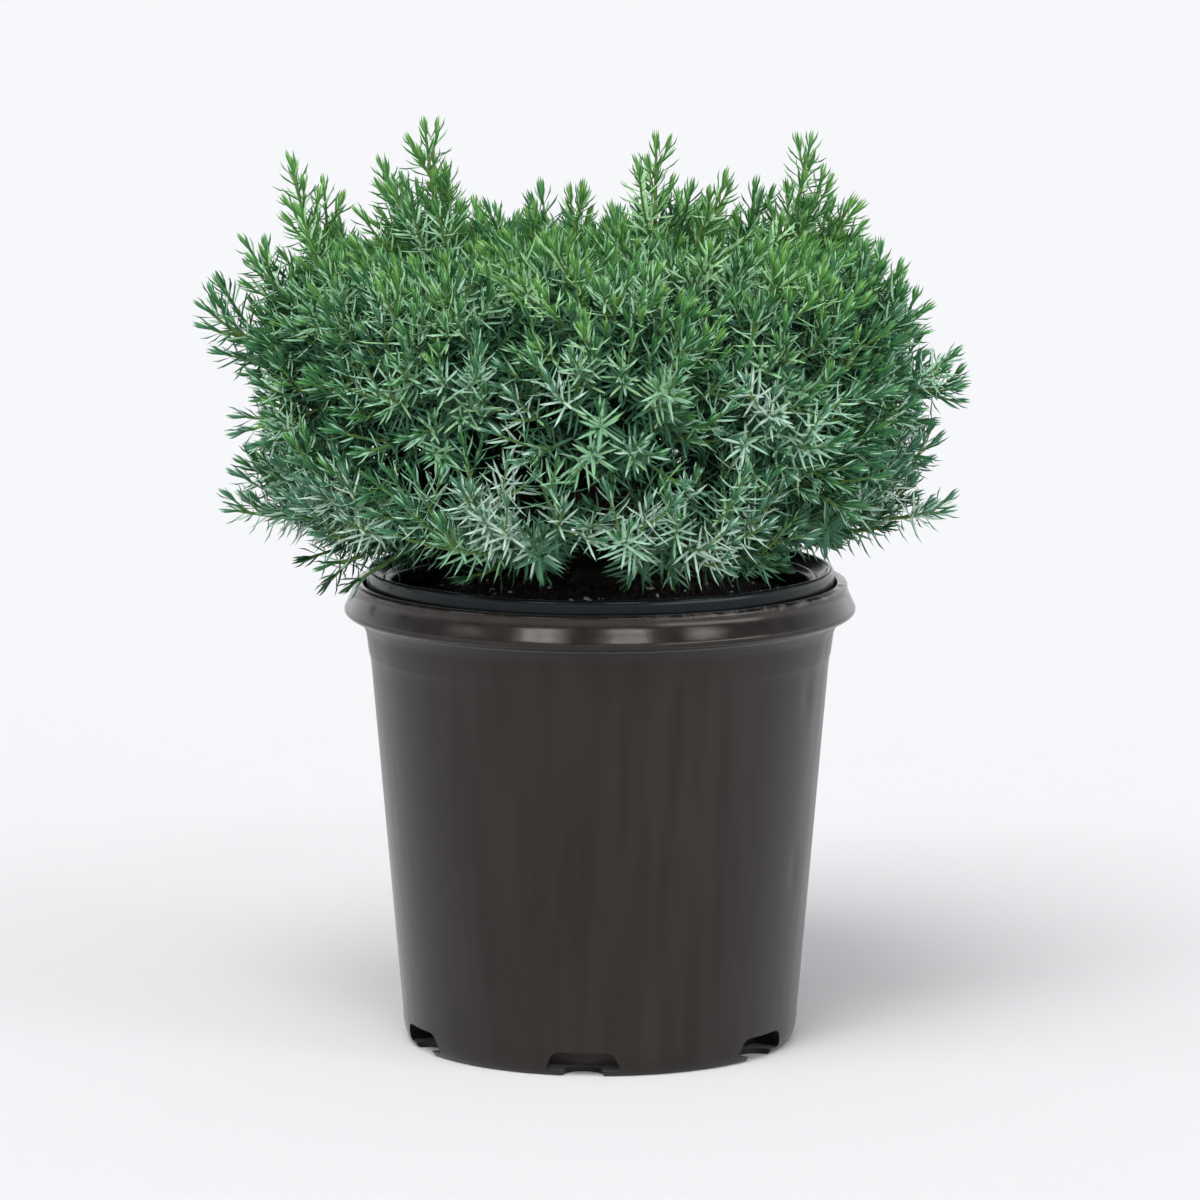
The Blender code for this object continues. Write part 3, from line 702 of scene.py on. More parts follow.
    def build(self) -> bpy.types.Object:
        """Turns the pot, cuts its drains, lets its wall stray and dresses it.

        Returns:
            The finished pot.
        """
        pot = turned("pot_shell", self.outline(), self.sides)
        cutters = self.drain_cutters()
        for cutter in cutters:
            cut = pot.modifiers.new("drain", "BOOLEAN")
            cut.operation = "DIFFERENCE"
            cut.solver = "MANIFOLD"
            cut.object = cutter
        pot = made_plain(pot, "pot_shell")
        for cutter in cutters:
            bpy.data.objects.remove(cutter)
        for vertex in pot.data.vertices:
            vertex.co = self.strayed(vertex.co)
        pot.data.materials.clear()
        pot.data.materials.append(self.finish.material())
        shade_smooth(pot.data, self.smooth_below)
        declare(pot, ["pot"])
        return pot


@dataclass
class LinerPot:
    """The thin grower's pot inside, whose doubled rim stands proud of the outer one."""

    top: float
    rim_radius: float = 0.0755
    inner_radius: float = 0.0672
    mix_edge: float = 0.1425
    draft: float = 0.0006
    wall: float = 0.0014
    bead: float = 0.0028
    groove: float = 0.0034
    skirt: float = 0.0080
    sides: int = 200
    wave: float = 0.0005  # how far the thin rim strays from true
    sway_round: float = 1.7  # how fast it sways in and out round the pot
    dip_round: float = 2.4  # and up and down
    dip_low: float = 0.6  # above 0, it dips more than it rises
    finish: MouldedPlastic = MouldedPlastic(
        "polypropylene_thermoformed", "05080A", "3A4244", 0.36, 0.1535, "F0FAFF", 0.1400, gloss=0.24
    )

    def outline(self, pot: NurseryPot) -> Outline:
        """The liner's outline, which follows the inside of the outer pot.

        Args:
            pot: The outer pot.

        Returns:
            Radius and height of each point.
        """
        floor = pot.step_height + GAP
        floor_radius = pot.wall_radius(floor) - pot.wall - GAP
        neck = pot.neck_height - 0.0018
        inner_bead = self.inner_radius + self.wall
        corners = [
            (0.0, floor + self.wall, 0.0),
            (floor_radius - self.wall, floor + self.wall, 0.0010),
            (self.inner_radius - self.draft, self.mix_edge, 0.0),
            (self.inner_radius, self.top - self.groove * 1.25, 0.0008),
            (inner_bead, self.top - self.bead, 0.0010),
            (inner_bead + 0.0009, self.top - self.bead, 0.0006),
            (self.inner_radius + self.bead, self.top - self.groove, 0.0006),
            (self.rim_radius - self.bead, self.top - self.wall, 0.0008),
            (self.rim_radius - self.bead * 0.7, self.top, 0.0009),
            (self.rim_radius - self.bead / 5, self.top, 0.0007),
            (self.rim_radius, self.top - self.wall, 0.0007),
            (self.rim_radius, self.top - self.skirt, 0.0004),
            (pot.wall_radius(neck) - pot.wall - GAP, neck, 0.0),
            (floor_radius, floor, 0.0010),
            (0.0, floor, 0.0),
        ]
        return rounded(corners)

    def build(self, pot: NurseryPot) -> bpy.types.Object:
        """Turns the liner inside its pot, lets its rim stray and dresses it.

        Args:
            pot: The outer pot.

        Returns:
            The finished liner.
        """
        liner = turned("liner_shell", self.outline(pot), self.sides)
        for vertex in liner.data.vertices:
            if vertex.co.z < self.mix_edge:
                continue
            around = Vector((vertex.co.x, vertex.co.y, 0.0)).normalized()
            share = min((vertex.co.z - self.mix_edge) / (self.top - self.mix_edge), 1.0)
            sway = noise.noise(around * self.sway_round + UP * 5.0) * self.wave * share
            dip = (noise.noise(around * self.dip_round + UP * 9.0) - self.dip_low) * self.wave * share
            vertex.co += around * sway + UP * min(dip, 0.0)
        liner.data.materials.append(self.finish.material())
        shade_smooth(liner.data, 50.0)
        declare(liner, ["liner"])
        return liner


@dataclass
class PottingMix:
    """The bed of potting mix: peat with bark crumbs and white grains of expanded mineral."""

    top: float
    edge_height: float = 0.1425
    edge_radius: float = 0.0663
    plateau_radius: float = 0.0160
    crown_radius: float = 0.0400
    shoulder_radius: float = 0.0580
    rings: int = 44
    sides: int = 160
    lump: float = 0.0009
    lump_fineness: float = 260.0  # lumps by the metre
    calm_edge: float = 0.002  # distance from the liner over which the lumps set in
    crumb_dent: float = 0.45  # how far a crumb's corners stray, as a share of its radius
    crumb_rise: float = 0.35  # least upward slope of the bed on which crumbs lie
    crumb_least: tuple[float, float, float] = (0.4, 0.4, 0.3)  # size of the smallest crumb, as a share
    crumb_most: tuple[float, float, float] = (1.5, 1.2, 0.9)
    size_seed: int = 3
    crumb_radius: float = 0.00125
    crumb_density: float = 90000.0  # a square metre
    grain_radius: float = 0.0011
    grain_density: float = 9000.0
    seed: int = 7
    peat: Crumbly = Crumbly("peat_milled", "080706", "1E1A17", 1.6 * MM, 0.5 * MM)
    bark: Crumbly = Crumbly("pine_bark_composted", "100C0A", "3A2C24", 1.2 * MM, 0.3 * MM)
    grain: Crumbly = Crumbly("perlite_expanded", "9A978E", "E4E1D8", 0.5 * MM, 0.15 * MM)

    def surface_height(self, radius: float) -> float:
        """Height of the bed before its lumps.

        Args:
            radius: Distance from the axis.

        Returns:
            The height there.
        """
        rise = self.top - self.edge_height
        radii = (0.0, self.plateau_radius, self.crown_radius, self.shoulder_radius, self.edge_radius)
        drops = (0.0, 0.0, 0.2, 0.5, 1.0)
        return self.top - rise * float(np.interp(radius, radii, drops))

    def outline(self, pot: NurseryPot, liner: LinerPot) -> Outline:
        """The bed's outline: its top in fine rings, then the plug that fills the liner.

        Args:
            pot: The outer pot.
            liner: The liner.

        Returns:
            Radius and height of each point.
        """
        floor = pot.step_height + GAP * 2 + liner.wall
        floor_radius = pot.wall_radius(floor) - pot.wall - GAP * 2 - liner.wall
        outline = []
        for ring in range(self.rings + 1):
            radius = self.edge_radius * ring / self.rings
            outline.append((radius, self.surface_height(radius)))
        return outline + [(floor_radius, floor), (0.0, floor)]

    def lumpy(self, point: Vector) -> Vector:
        """Where a point of the smooth bed goes once the lumps are in.

        Args:
            point: The point before.

        Returns:
            The point after.
        """
        if point.z < self.edge_height - GAP:
            return point
        rough = noise.fractal(point * self.lump_fineness, 0.9, 2.2, 4)
        calm = min(1.0, (self.edge_radius - math.hypot(point.x, point.y)) / self.calm_edge)
        return point + UP * (self.lump * rough * calm - self.lump * 0.5)

    def scatter(
        self, bed: bpy.types.Object, name: str, radius: float, density: float, finish: Crumbly, seed: int
    ) -> bpy.types.Object:
        """Strews crumbs over the bed's top.

        Args:
            bed: The bed's piece.
            name: Name of the new piece.
            radius: Usual radius of a crumb.
            density: Crumbs on a square metre.
            finish: Their finish.
            seed: Seed of the strewing.

        Returns:
            The crumbs as one piece.
        """
        shape = bmesh.new()
        bmesh.ops.create_icosphere(shape, subdivisions=1, radius=radius)
        for corner in shape.verts:
            corner.co *= 1.0 + self.crumb_dent * noise.noise(corner.co * (1.1 / radius) + UP * seed)
        mesh = bpy.data.meshes.new("crumb")
        shape.to_mesh(mesh)
        shape.free()
        crumb = new_object("crumb", mesh)
        crumb.data.materials.append(finish.material())
        recipe = Recipe("strewn_crumbs", {"Density": density, "Crumb": crumb, "Seed": seed})
        add = recipe.add
        normal = add("GeometryNodeInputNormal")
        rise = add("ShaderNodeSeparateXYZ", {0: normal}, "Z")
        on_top = add(COMPARE, {0: rise, 1: self.crumb_rise}, operation="GREATER_THAN")
        points = add(
            "GeometryNodeDistributePointsOnFaces",
            {
                "Mesh": recipe.inputs["Geometry"], "Selection": on_top, "Density": recipe.inputs["Density"],
                "Seed": recipe.inputs["Seed"],
            },
        )
        turn = add(
            RANDOM, {0: (0.0, 0.0, 0.0), 1: (math.tau, math.tau, math.tau), "Seed": recipe.inputs["Seed"]},
            data_type="FLOAT_VECTOR",
        )
        size = add(
            RANDOM, {0: self.crumb_least, 1: self.crumb_most, "Seed": self.size_seed},
            data_type="FLOAT_VECTOR",
        )
        source = add("GeometryNodeObjectInfo", {"Object": recipe.inputs["Crumb"]}, "Geometry")
        strewn = add(
            "GeometryNodeInstanceOnPoints",
            {"Points": points, "Instance": source, "Rotation": turn, "Scale": size},
        )
        solid = add("GeometryNodeRealizeInstances", {0: strewn})
        recipe.finish(add("GeometryNodeSetMaterial", {0: solid, "Material": crumb.data.materials[0]}))
        carrier = new_object(name, bed.data.copy())
        carrier.data.materials.clear()
        piece = recipe.run(carrier, name)
        bpy.data.objects.remove(crumb)
        declare(piece, ["potting_mix"])
        return piece

    def build(self, pot: NurseryPot, liner: LinerPot) -> None:
        """Makes the bed and strews it with crumbs and grains.

        Args:
            pot: The outer pot.
            liner: The liner.
        """
        bed = turned("mix_bed", self.outline(pot, liner), self.sides)
        for vertex in bed.data.vertices:
            vertex.co = self.lumpy(vertex.co)
        bed.data.materials.append(self.peat.material())
        shade_smooth(bed.data, 60.0)
        self.scatter(bed, "mix_crumbs", self.crumb_radius, self.crumb_density, self.bark, self.seed)
        self.scatter(bed, "mix_grains", self.grain_radius, self.grain_density, self.grain, self.seed + 1)
        declare(bed, ["potting_mix"])


# --- The plant's frame: stem, tiers and crown ---------------------------------------------------


@dataclass(frozen=True)
class Tier:
    """A ring of boughs round the stem, each with its mass of foliage. Angles are in degrees."""

    name: str
    count: int
    first_azimuth: float
    stem_height: float
    bough_radius: float
    tip_radius: float
    tip_height: float
    heading: float
    missing: tuple[int, ...] = ()
    from_stem_tip: bool = False


@dataclass(frozen=True)
class Stem:
    """The short main stem: flared at the mix, tapering, leaning a little further up."""

    foot: float
    lean: Vector = field(default_factory=lambda: Vector((0.0035, 0.0020, 0.0)))
    stations: tuple[tuple[float, float], ...] = (
        (0.0000, 0.0105),
        (0.0016, 0.0086),
        (0.0050, 0.0072),
        (0.0140, 0.0062),
        (0.0280, 0.0052),
        (0.0420, 0.0042),
        (0.0560, 0.0034),
    )

    def point(self, height: float) -> Vector:
        """The stem's axis this far above its foot."""
        top = self.stations[-1][0]
        return UP * (self.foot + height) + self.lean * (height / top) ** 2

    def radius(self, height: float) -> float:
        """The stem's radius this far above its foot."""
        heights, radii = zip(*self.stations)
        return float(np.interp(height, heights, radii))


@dataclass(frozen=True)
class Crown:
    """The outline of the crown: round in plan, and a squared oval from the side."""

    middle: Vector = field(default_factory=lambda: Vector((-0.0040, 0.0, 0.2110)))
    radius_x: float = 0.1150
    radius_y: float = 0.1080
    up: float = 0.0650
    down: float = 0.0610
    squareness: float = 3.3
    foot: float = 0.1570
    share_above_foot: float = 0.8
    search: float = 0.30
    halvings: int = 24

    def measure(self, point: Vector) -> float:
        """Measures how far out a point lies.

        Args:
            point: The point.

        Returns:
            Under 1 inside the outline, 1 on it, more outside.
        """
        away = point - self.middle
        flat = math.hypot(away.x / self.radius_x, away.y / self.radius_y)
        tall = abs(away.z) / (self.up if away.z > 0 else self.down)
        return flat**self.squareness + tall**self.squareness

    def distance(self, start: Vector, direction: Vector) -> float:
        """How far the outline lies from a point inside it.

        Args:
            start: The point.
            direction: The way to look, as a unit vector.

        Returns:
            The distance.
        """
        near, far = 0.0, self.search
        for _ in range(self.halvings):
            half = (near + far) / 2
            if self.measure(start + direction * half) < 1.0:
                near = half
            else:
                far = half
        return near

    def targets(self, count: int) -> list[Vector]:
        """Points spread evenly over the outline, above its foot.

        Args:
            count: About how many are wanted.

        Returns:
            The points, from the top down.
        """
        points = []
        spread = int(count / self.share_above_foot)
        for index in range(spread):
            rise = 1.0 - 2.0 * (index + 0.5) / spread
            flat = math.sqrt(1.0 - rise * rise)
            turn = index * GOLDEN_ANGLE
            direction = Vector((flat * math.cos(turn), flat * math.sin(turn), rise))
            point = self.middle + direction * self.distance(self.middle, direction)
            if point.z > self.foot:
                points.append(point)
        return points


def curve_through(start: Vector, control: Vector, end: Vector, count: int) -> list[Vector]:
    """Points along a quadratic curve, both ends among them.

    Args:
        start: Where the curve starts.
        control: Its control point.
        end: Where it ends.
        count: How many points it gets.

    Returns:
        The points.
    """
    points = []
    for index in range(count):
        share = index / (count - 1)
        points.append(start * (1 - share) ** 2 + control * 2 * share * (1 - share) + end * share**2)
    return points


class Mass:
    """One bough and the foliage at its end, with the place where each begins and heads."""

    POINTS = 5
    COLLAR = 0.0020  # a bough leaves the stem squarely for this far
    TIP_SHARE = 0.62
    BEND = 0.5
    MIDDLE_SHARE = 0.48

    def __init__(self, tier: Tier, index: int, stem: Stem, crown: Crown) -> None:
        """Works out the bough's path and the foliage's foot, heading, reach and middle.

        Args:
            tier: The tier that the bough belongs to.
            index: Its number in the tier, from 0.
            stem: The stem that it leaves.
            crown: The outline that its foliage reaches to.
        """
        self.tier = tier
        self.number = index + 1
        self.azimuth = tier.first_azimuth + index * 360.0 / tier.count
        outward = heading_vector(self.azimuth, 0.0)
        axis = stem.point(tier.stem_height)
        if tier.from_stem_tip:
            start = axis + outward * (tier.bough_radius + GAP) + UP * (GAP * 3)
            bend = start + UP * self.COLLAR
        else:
            start = axis + outward * (stem.radius(tier.stem_height) + GAP * 2)
            bend = start + outward * self.COLLAR
        tip = outward * tier.tip_radius + UP * tier.tip_height
        control = tip - heading_vector(self.azimuth, tier.heading) * (tip - bend).length * self.BEND
        self.path = [start] + curve_through(bend, control, tip, self.POINTS - 1)
        self.radii = np.linspace(tier.bough_radius, tier.bough_radius * self.TIP_SHARE, self.POINTS)
        self.heading = (self.path[-1] - self.path[-2]).normalized()
        self.foot = tip + self.heading * GAP
        self.reach = crown.distance(self.foot, self.heading)
        self.middle = self.foot + self.heading * (self.reach * self.MIDDLE_SHARE)

    @property
    def bough_node(self) -> str:
        """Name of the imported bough."""
        return f"{self.tier.name}_bough_{self.number}"

    @property
    def foliage_node(self) -> str:
        """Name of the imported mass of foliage."""
        return f"{self.tier.name}_foliage_{self.number}"


# --- Growth -------------------------------------------------------------------------------------


@dataclass
class Line:
    """A twig as a line of points from root to tip, with all that its needles need to know."""

    points: list[Vector]
    root_radius: float
    tip_radius: float
    bare: float  # length at the root that carries no needles
    spread: float = 1.0  # how widely its needles stand, 1 on an old shoot in full light
    tint: int = 0
    tints: list[int] = field(default_factory=list)  # tint of each point, where it changes

    @property
    def length(self) -> float:
        """Length along the line."""
        return sum((after - before).length for before, after in zip(self.points, self.points[1:]))

    def at(self, share: float) -> tuple[Vector, Vector]:
        """Place and heading on the line.

        Args:
            share: How far along it, counted by points.

        Returns:
            The place and the unit heading there.
        """
        spot = share * (len(self.points) - 1)
        low = min(int(spot), len(self.points) - 2)
        along = self.points[low + 1] - self.points[low]
        return self.points[low] + along * (spot - low), along.normalized()


@dataclass(frozen=True)
class Branching:
    """How one order of shoots leaves the one before it. Angles are in degrees."""

    first: float  # share of the parent at which the first one leaves
    last: float
    spacing: float
    angle: float
    length_foot: float
    length_tip: float
    root_radius: float
    tip_radius: float
    least_parent: float = 0.0
    least_length: float = 0.0060


@dataclass
class Growth:
    """Grows the crown: branches to the outline, side shoots on them, and shootlets on those."""

    stem: Stem
    crown: Crown
    pot: NurseryPot
    liner: LinerPot
    mix: PottingMix
    seed: int = 41
    branch_count: int = 290
    outer_shares: tuple[float, float] = (0.82, 0.95)  # how far out the outer layer's buds reach
    inner_count: int = 200
    inner_shares: tuple[float, float] = (0.46, 0.82)
    core_count: int = 270
    core_shares: tuple[float, float] = (0.10, 0.46)
    shoot_limit: float = 0.74  # the outline's measure that a side shoot's tip keeps within
    crowd_top: float = 0.2560  # height that only leaders rise above
    crowd_relief: float = 0.0135  # how far that height goes up and down
    crowd_swell: float = 0.027  # size of those ups and downs
    spike_shoot: float = 0.0090  # length of a side shoot that stands out of the crowd
    spike_share: float = 0.30  # share of the top branches that stand out a little
    spike_heights: tuple[float, float] = (0.003, 0.013)
    branch_points: int = 10
    side_points: int = 5
    tries: int = 3
    out_first: float = 0.22
    sag_low: float = 0.10  # how far a branch hangs before it turns up, at the crown's foot and top
    sag_high: float = 0.28
    bud_overhang: float = 0.0035
    bare_foot: float = 0.0018  # length of a side shoot's foot that carries no needles
    side: Branching = Branching(0.22, 0.88, 0.0082, 46.0, 0.0340, 0.0205, 0.00055, 0.00036)
    branch_tiplet: Branching = Branching(0.74, 0.94, 0.0110, 40.0, 0.0120, 0.0095, 0.00045, 0.00034)
    spike_tiplet: Branching = Branching(0.58, 0.95, 0.0040, 36.0, 0.0100, 0.0068, 0.00045, 0.00034)
    side_tiplet: Branching = Branching(
        0.36, 0.70, 0.0160, 44.0, 0.0135, 0.0105, 0.00045, 0.00034, least_parent=0.0190
    )
    core_side: Branching = Branching(0.04, 0.96, 0.0046, 62.0, 0.0190, 0.0150, 0.00055, 0.00036)
    shade_depth: float = 0.0270  # depth under the crowd's top from which a shoot gets the shade tints, painted shade, as no sunlight reaches it
    thin_below: float = 0.1720  # the crown thins out below this height
    thin_share: float = 0.88  # share of the shoots that are left out there
    bare_share: float = 0.60  # share of the branches that are left out there
    tint_lean: float = 1.20  # above 1, the silver tints reach further up
    underside_dim: float = 0.84  # share of the rest that get the DIM tint, painted shade where the crown keeps the light from them
    shaded_within: float = 0.32  # the outline's measure inside which a shoot is painted with the SHADED tint, as no sunlight reaches it
    dim_within: float = 0.56  # and inside which it is painted with the DIM tint, as it gets little
    back_from: float = 0.010  # the crown's underside is dense from here back, and painted with the SHADED tint as shade
    skirt_radius: float = 0.070  # past this distance from the axis the crown's foot rises
    skirt_rise: float = 0.45
    skirt_rise_back: float = 0.12
    hem_count: int = 18  # low branches that close the crown over the back of the rim
    hem_spread: float = 156.0  # degrees
    hem_radius: float = 0.0730
    hem_height: float = 0.1595
    outturn: float = 0.10  # how far the end of a shoot turns outward
    upturn_low: float = 0.34  # and up, at the crown's foot and at its top
    upturn_high: float = 0.90
    limb_clearance: float = 0.0028
    mix_clearance: float = 0.002
    foot_overhang: float = 0.002  # how far a shoot may end under the crown's foot
    box_margin: float = 0.001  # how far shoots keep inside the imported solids' box
    tint_stray: float = 0.19
    inherit_share: float = 0.6  # share of the shoots that keep their parent's tint
    spread_low: float = 1.16  # how widely needles stand at the crown's foot
    spread_fall: float = 0.22  # and how much less at its top
    spread_stray: float = 0.08
    branch_root: float = 0.00095
    branch_tip: float = 0.00045
    branch_bare: float = 0.20  # share of a branch that carries no needles
    detours: tuple[float, float, float] = (0.0, 0.012, 0.024)  # how far a branch bends up to miss the rim
    follow: float = 0.35  # how far a shoot's end goes on in its parent's direction
    tiers: tuple[Tier, ...] = (
        Tier("low", 9, -100.0, 0.0075, 0.0019, 0.0350, 0.1640, 7.0, missing=(4,)),
        Tier("middle", 8, -85.0, 0.0210, 0.0018, 0.0350, 0.2015, 24.0),
        Tier("upper", 6, -75.0, 0.0370, 0.0016, 0.0290, 0.2150, 54.0),
        Tier("top", 2, -90.0, 0.0560, 0.0013, 0.0110, 0.2240, 78.0, from_stem_tip=True),
    )
    # Places that the foliage leaves open: azimuth, distance from the middle, height and radius
    open_places: tuple[tuple[float, float, float, float], ...] = (
        (-19.0, 0.0850, 0.1920, 0.0120),
        (66.0, 0.0640, 0.1530, 0.0240),
        (84.0, 0.0800, 0.1570, 0.0150),
    )
    # Leaders, the shoots that stand out of the crown: x, y and height of each tip, in millimetres
    leaders: tuple[tuple[int, int, int], ...] = (
        (-56, -10, 297), (-100, 0, 285), (-71, 12, 283), (-86, 20, 264), (-115, 6, 258),
        (-128, -6, 238), (-116, 10, 220), (-116, -16, 204), (-116, 4, 187), (-119, -12, 174),
        (-88, -34, 159), (-49, -8, 283), (-63, -10, 280), (-37, 6, 270), (-21, 2, 270),
        (-5, -6, 277), (18, -4, 292), (30, 8, 276), (41, -4, 280), (50, 6, 277),
        (68, -6, 292), (72, -6, 281), (82, 12, 270), (97, -4, 251), (106, 10, 236),
        (116, -4, 213), (110, 12, 194), (112, -8, 173), (30, 70, 268), (-42, 76, 264),
        (-75, 88, 238), (15, 116, 240), (80, 78, 244), (-30, 112, 195), (68, 90, 190),
        (-92, 60, 196), (24, -108, 226), (-64, -88, 230), (72, -80, 202), (-89, -22, 152),
        (-96, -6, 157), (-80, -46, 154), (-44, -58, 158), (8, -68, 158), (46, -60, 162),
    )

    def __post_init__(self) -> None:
        """Works out the masses and the points that part the crown between them."""
        self.rng = random.Random(self.seed)
        self.masses = [
            Mass(tier, index, self.stem, self.crown)
            for tier in self.tiers
            for index in range(tier.count) if index not in tier.missing
        ]
        self.sites = np.array([mass.middle for mass in self.masses])
        self.low_corner, self.high_corner = (np.array(corner) for corner in cad_bounds)

    def nearest(self, point: Vector) -> int:
        """Number of the mass that a point belongs to."""
        return int(np.argmin(np.linalg.norm(self.sites - np.array(point), axis=1)))

    def left_open(self, point: Vector) -> bool:
        """Whether the foliage leaves a point open."""
        away = ((point - heading_vector(a, 0.0) * r - UP * h, size) for a, r, h, size in self.open_places)
        return any(offset.length < size for offset, size in away)

    def skirt(self, point: Vector) -> float:
        """The lowest that a shoot may end.

        Args:
            point: A point above or below.

        Returns:
            The height.
        """
        rise = self.skirt_rise if point.y < self.back_from else self.skirt_rise_back
        past = max(0.0, math.hypot(point.x, point.y) - self.skirt_radius)
        return self.crown.foot - self.foot_overhang + past * rise

    def ceiling(self, point: Vector) -> float:
        """How high the crowd of shoots reaches above a point."""
        swell = noise.noise(Vector((point.x, point.y, 0.0)) / self.crowd_swell)
        return self.crowd_top + self.crowd_relief * swell

    def height_share(self, point: Vector) -> float:
        """0 at the crown's foot, 1 at its top."""
        low, high = self.crown.foot, self.crown.middle.z + self.crown.up
        return max(0.0, min(1.0, (point.z - low) / (high - low)))

    def clear_of_pot(self, point: Vector) -> bool:
        """Whether a twig may pass through a point: over the rim, outside the collar or over the mix.

        Args:
            point: The point.

        Returns:
            True if it may.
        """
        radius = math.hypot(point.x, point.y)
        if point.z > self.liner.top + self.limb_clearance:
            return True
        if radius > self.pot.collar_radius + self.limb_clearance:
            return True
        over_mix = point.z > self.mix.top + self.mix_clearance
        return radius < self.liner.inner_radius - self.limb_clearance and over_mix

    def allowed(self, points: Sequence[Vector], limit: float, ceiling: float) -> bool:
        """Whether a shoot may stand: clear of the pot, in the crown and out of the open places.

        Args:
            points: The shoot's line.
            limit: The most that the outline's measure may be at its tip.
            ceiling: The most that its tip's height may be.

        Returns:
            True if it may.
        """
        tip = np.array(points[-1])
        low, high = self.low_corner + self.box_margin, self.high_corner - self.box_margin
        inside = bool((tip > low).all() and (tip < high).all())
        return (
            inside
            and self.skirt(points[-1]) < points[-1].z < ceiling
            and self.crown.measure(points[-1]) < limit
            and not self.left_open(points[-1])
            and all(self.clear_of_pot(point) for point in points)
        )

    def thinned(self, tip: Vector) -> bool:
        """Whether a shoot that ends here is left out, as most are under the front of the crown."""
        underneath = tip.z < self.thin_below and tip.y < self.back_from
        return underneath and self.rng.random() < self.thin_share

    def tint_at(self, tip: Vector) -> int:
        """Deals a tint to a spray: silver low down, green and fresh towards the top; most under the crown get
        the DIM tint, painted shade.

        Args:
            tip: Where the spray ends.

        Returns:
            The tint's number.
        """
        if tip.z < self.thin_below and self.rng.random() < self.underside_dim:
            return Tint.DIM.number
        share = self.height_share(tip) ** self.tint_lean + self.rng.gauss(0.0, self.tint_stray)
        return LIT_TINTS[max(0, min(len(LIT_TINTS) - 1, int(share * len(LIT_TINTS))))].number

    def shaded(self, point: Vector, tint: int) -> int:
        """The tint at a point of a spray, painted dimmer or dark as shade the deeper it lies in the crown,
        and dark under the crown's back.

        Args:
            point: The point.
            tint: Number of the spray's own tint.

        Returns:
            The number of the tint there.
        """
        depth = self.ceiling(point) - point.z
        measure = self.crown.measure(point)
        if point.z < self.thin_below and point.y > self.back_from:
            return Tint.SHADED.number
        if depth > self.shade_depth and measure < self.shaded_within:
            return Tint.SHADED.number
        if depth > self.shade_depth / 2 and measure < self.dim_within:
            return Tint.DIM.number
        return tint

    def spread_at(self, tip: Vector) -> float:
        """How widely the needles of a spray stand: wide low down, closer towards the top."""
        stray = self.spread_stray
        return self.spread_low - self.spread_fall * self.height_share(tip) + self.rng.uniform(-stray, stray)

    def branch(self, mass: Mass, target: Vector) -> Line | None:
        """Grows a branch from a mass's axis to a point on or near the outline.

        Args:
            mass: The mass that it belongs to.
            target: Where its bud is to end.

        Returns:
            The branch, or None where it finds no way.
        """
        towards = target - mass.foot
        share = max(0.10, 0.50 - 0.42 * towards.angle(mass.heading))
        share = min(share, 0.6 * towards.length / mass.reach)
        leave = mass.foot + mass.heading * (mass.reach * share)
        aim = target - (target - leave).normalized() * self.bud_overhang
        away = aim - leave
        rise = self.rng.uniform(0.4, 1.0)
        sag = self.sag_low + (self.sag_high - self.sag_low) * self.height_share(target)
        bend = Vector((away.x * self.out_first, away.y * self.out_first, -away.length * sag)) * rise
        for shift in self.detours:
            control = (leave + aim) / 2 + bend + UP * shift
            points = curve_through(leave, control, aim, self.branch_points)
            if all(self.clear_of_pot(point) for point in points):
                bare = (aim - leave).length * self.branch_bare
                spread, tint = self.spread_at(target), self.tint_at(target)
                return Line(points, self.branch_root, self.branch_tip, bare, spread, tint)
        return None

    def offshoot(self, parent: Line, rule: Branching, share: float, turn: float, size: float) -> Line:
        """Grows one shoot of the next order.

        Args:
            parent: The shoot that carries it.
            rule: How it leaves its parent.
            share: Where on the parent it stands.
            turn: Its turn round the parent, in radians.
            size: Its length.

        Returns:
            The shoot.
        """
        place, heading = parent.at(share)
        aside = heading.orthogonal().normalized()
        radial = aside * math.cos(turn) + heading.cross(aside) * math.sin(turn)
        lean = math.radians(rule.angle * self.rng.uniform(0.8, 1.2))
        first = heading * math.cos(lean) + radial * math.sin(lean)
        outward = (place - self.crown.middle).normalized()
        lift = self.upturn_low + (self.upturn_high - self.upturn_low) * self.height_share(place)
        last = (first + heading * self.follow + outward * self.outturn + UP * lift).normalized()
        control = place + first * (size * 0.5)
        points = curve_through(place, control, control + last * (size * 0.5), self.side_points)
        tint = parent.tint if self.rng.random() < self.inherit_share else self.tint_at(points[-1])
        spread = parent.spread * self.rng.uniform(0.92, 1.05)
        return Line(points, rule.root_radius, rule.tip_radius, self.bare_foot, spread, tint)

    def offshoots(self, parent: Line, rule: Branching) -> list[Line]:
        """Grows the shoots of the next order on a parent.

        Args:
            parent: The shoot that carries them.
            rule: How they leave it.

        Returns:
            The new shoots.
        """
        length = parent.length
        if length < rule.least_parent:
            return []
        shoots = []
        ceiling = max(self.ceiling(parent.points[-1]), parent.points[-1].z)
        count = max(1, int(length * (rule.last - rule.first) / rule.spacing))
        turn = self.rng.uniform(0.0, math.tau)
        limit = max(self.shoot_limit, self.crown.measure(parent.points[-1]) * 1.02)
        for index in range(count):
            share = rule.first + (rule.last - rule.first) * (index + self.rng.uniform(0.2, 0.8)) / count
            size = rule.length_foot + (rule.length_tip - rule.length_foot) * share
            size *= self.rng.uniform(0.8, 1.2)
            place, _ = parent.at(share)
            if self.crown.measure(place) > self.shoot_limit or place.z > self.ceiling(place):
                size = min(size, self.spike_shoot)
            for _ in range(self.tries):
                turn += GOLDEN_ANGLE
                shoot = self.offshoot(parent, rule, share, turn, size)
                if self.allowed(shoot.points, limit, ceiling):
                    if not self.thinned(shoot.points[-1]) or rule is self.core_side:
                        shoots.append(shoot)
                    break
                size = max(size * 0.85, rule.least_length)
        return shoots

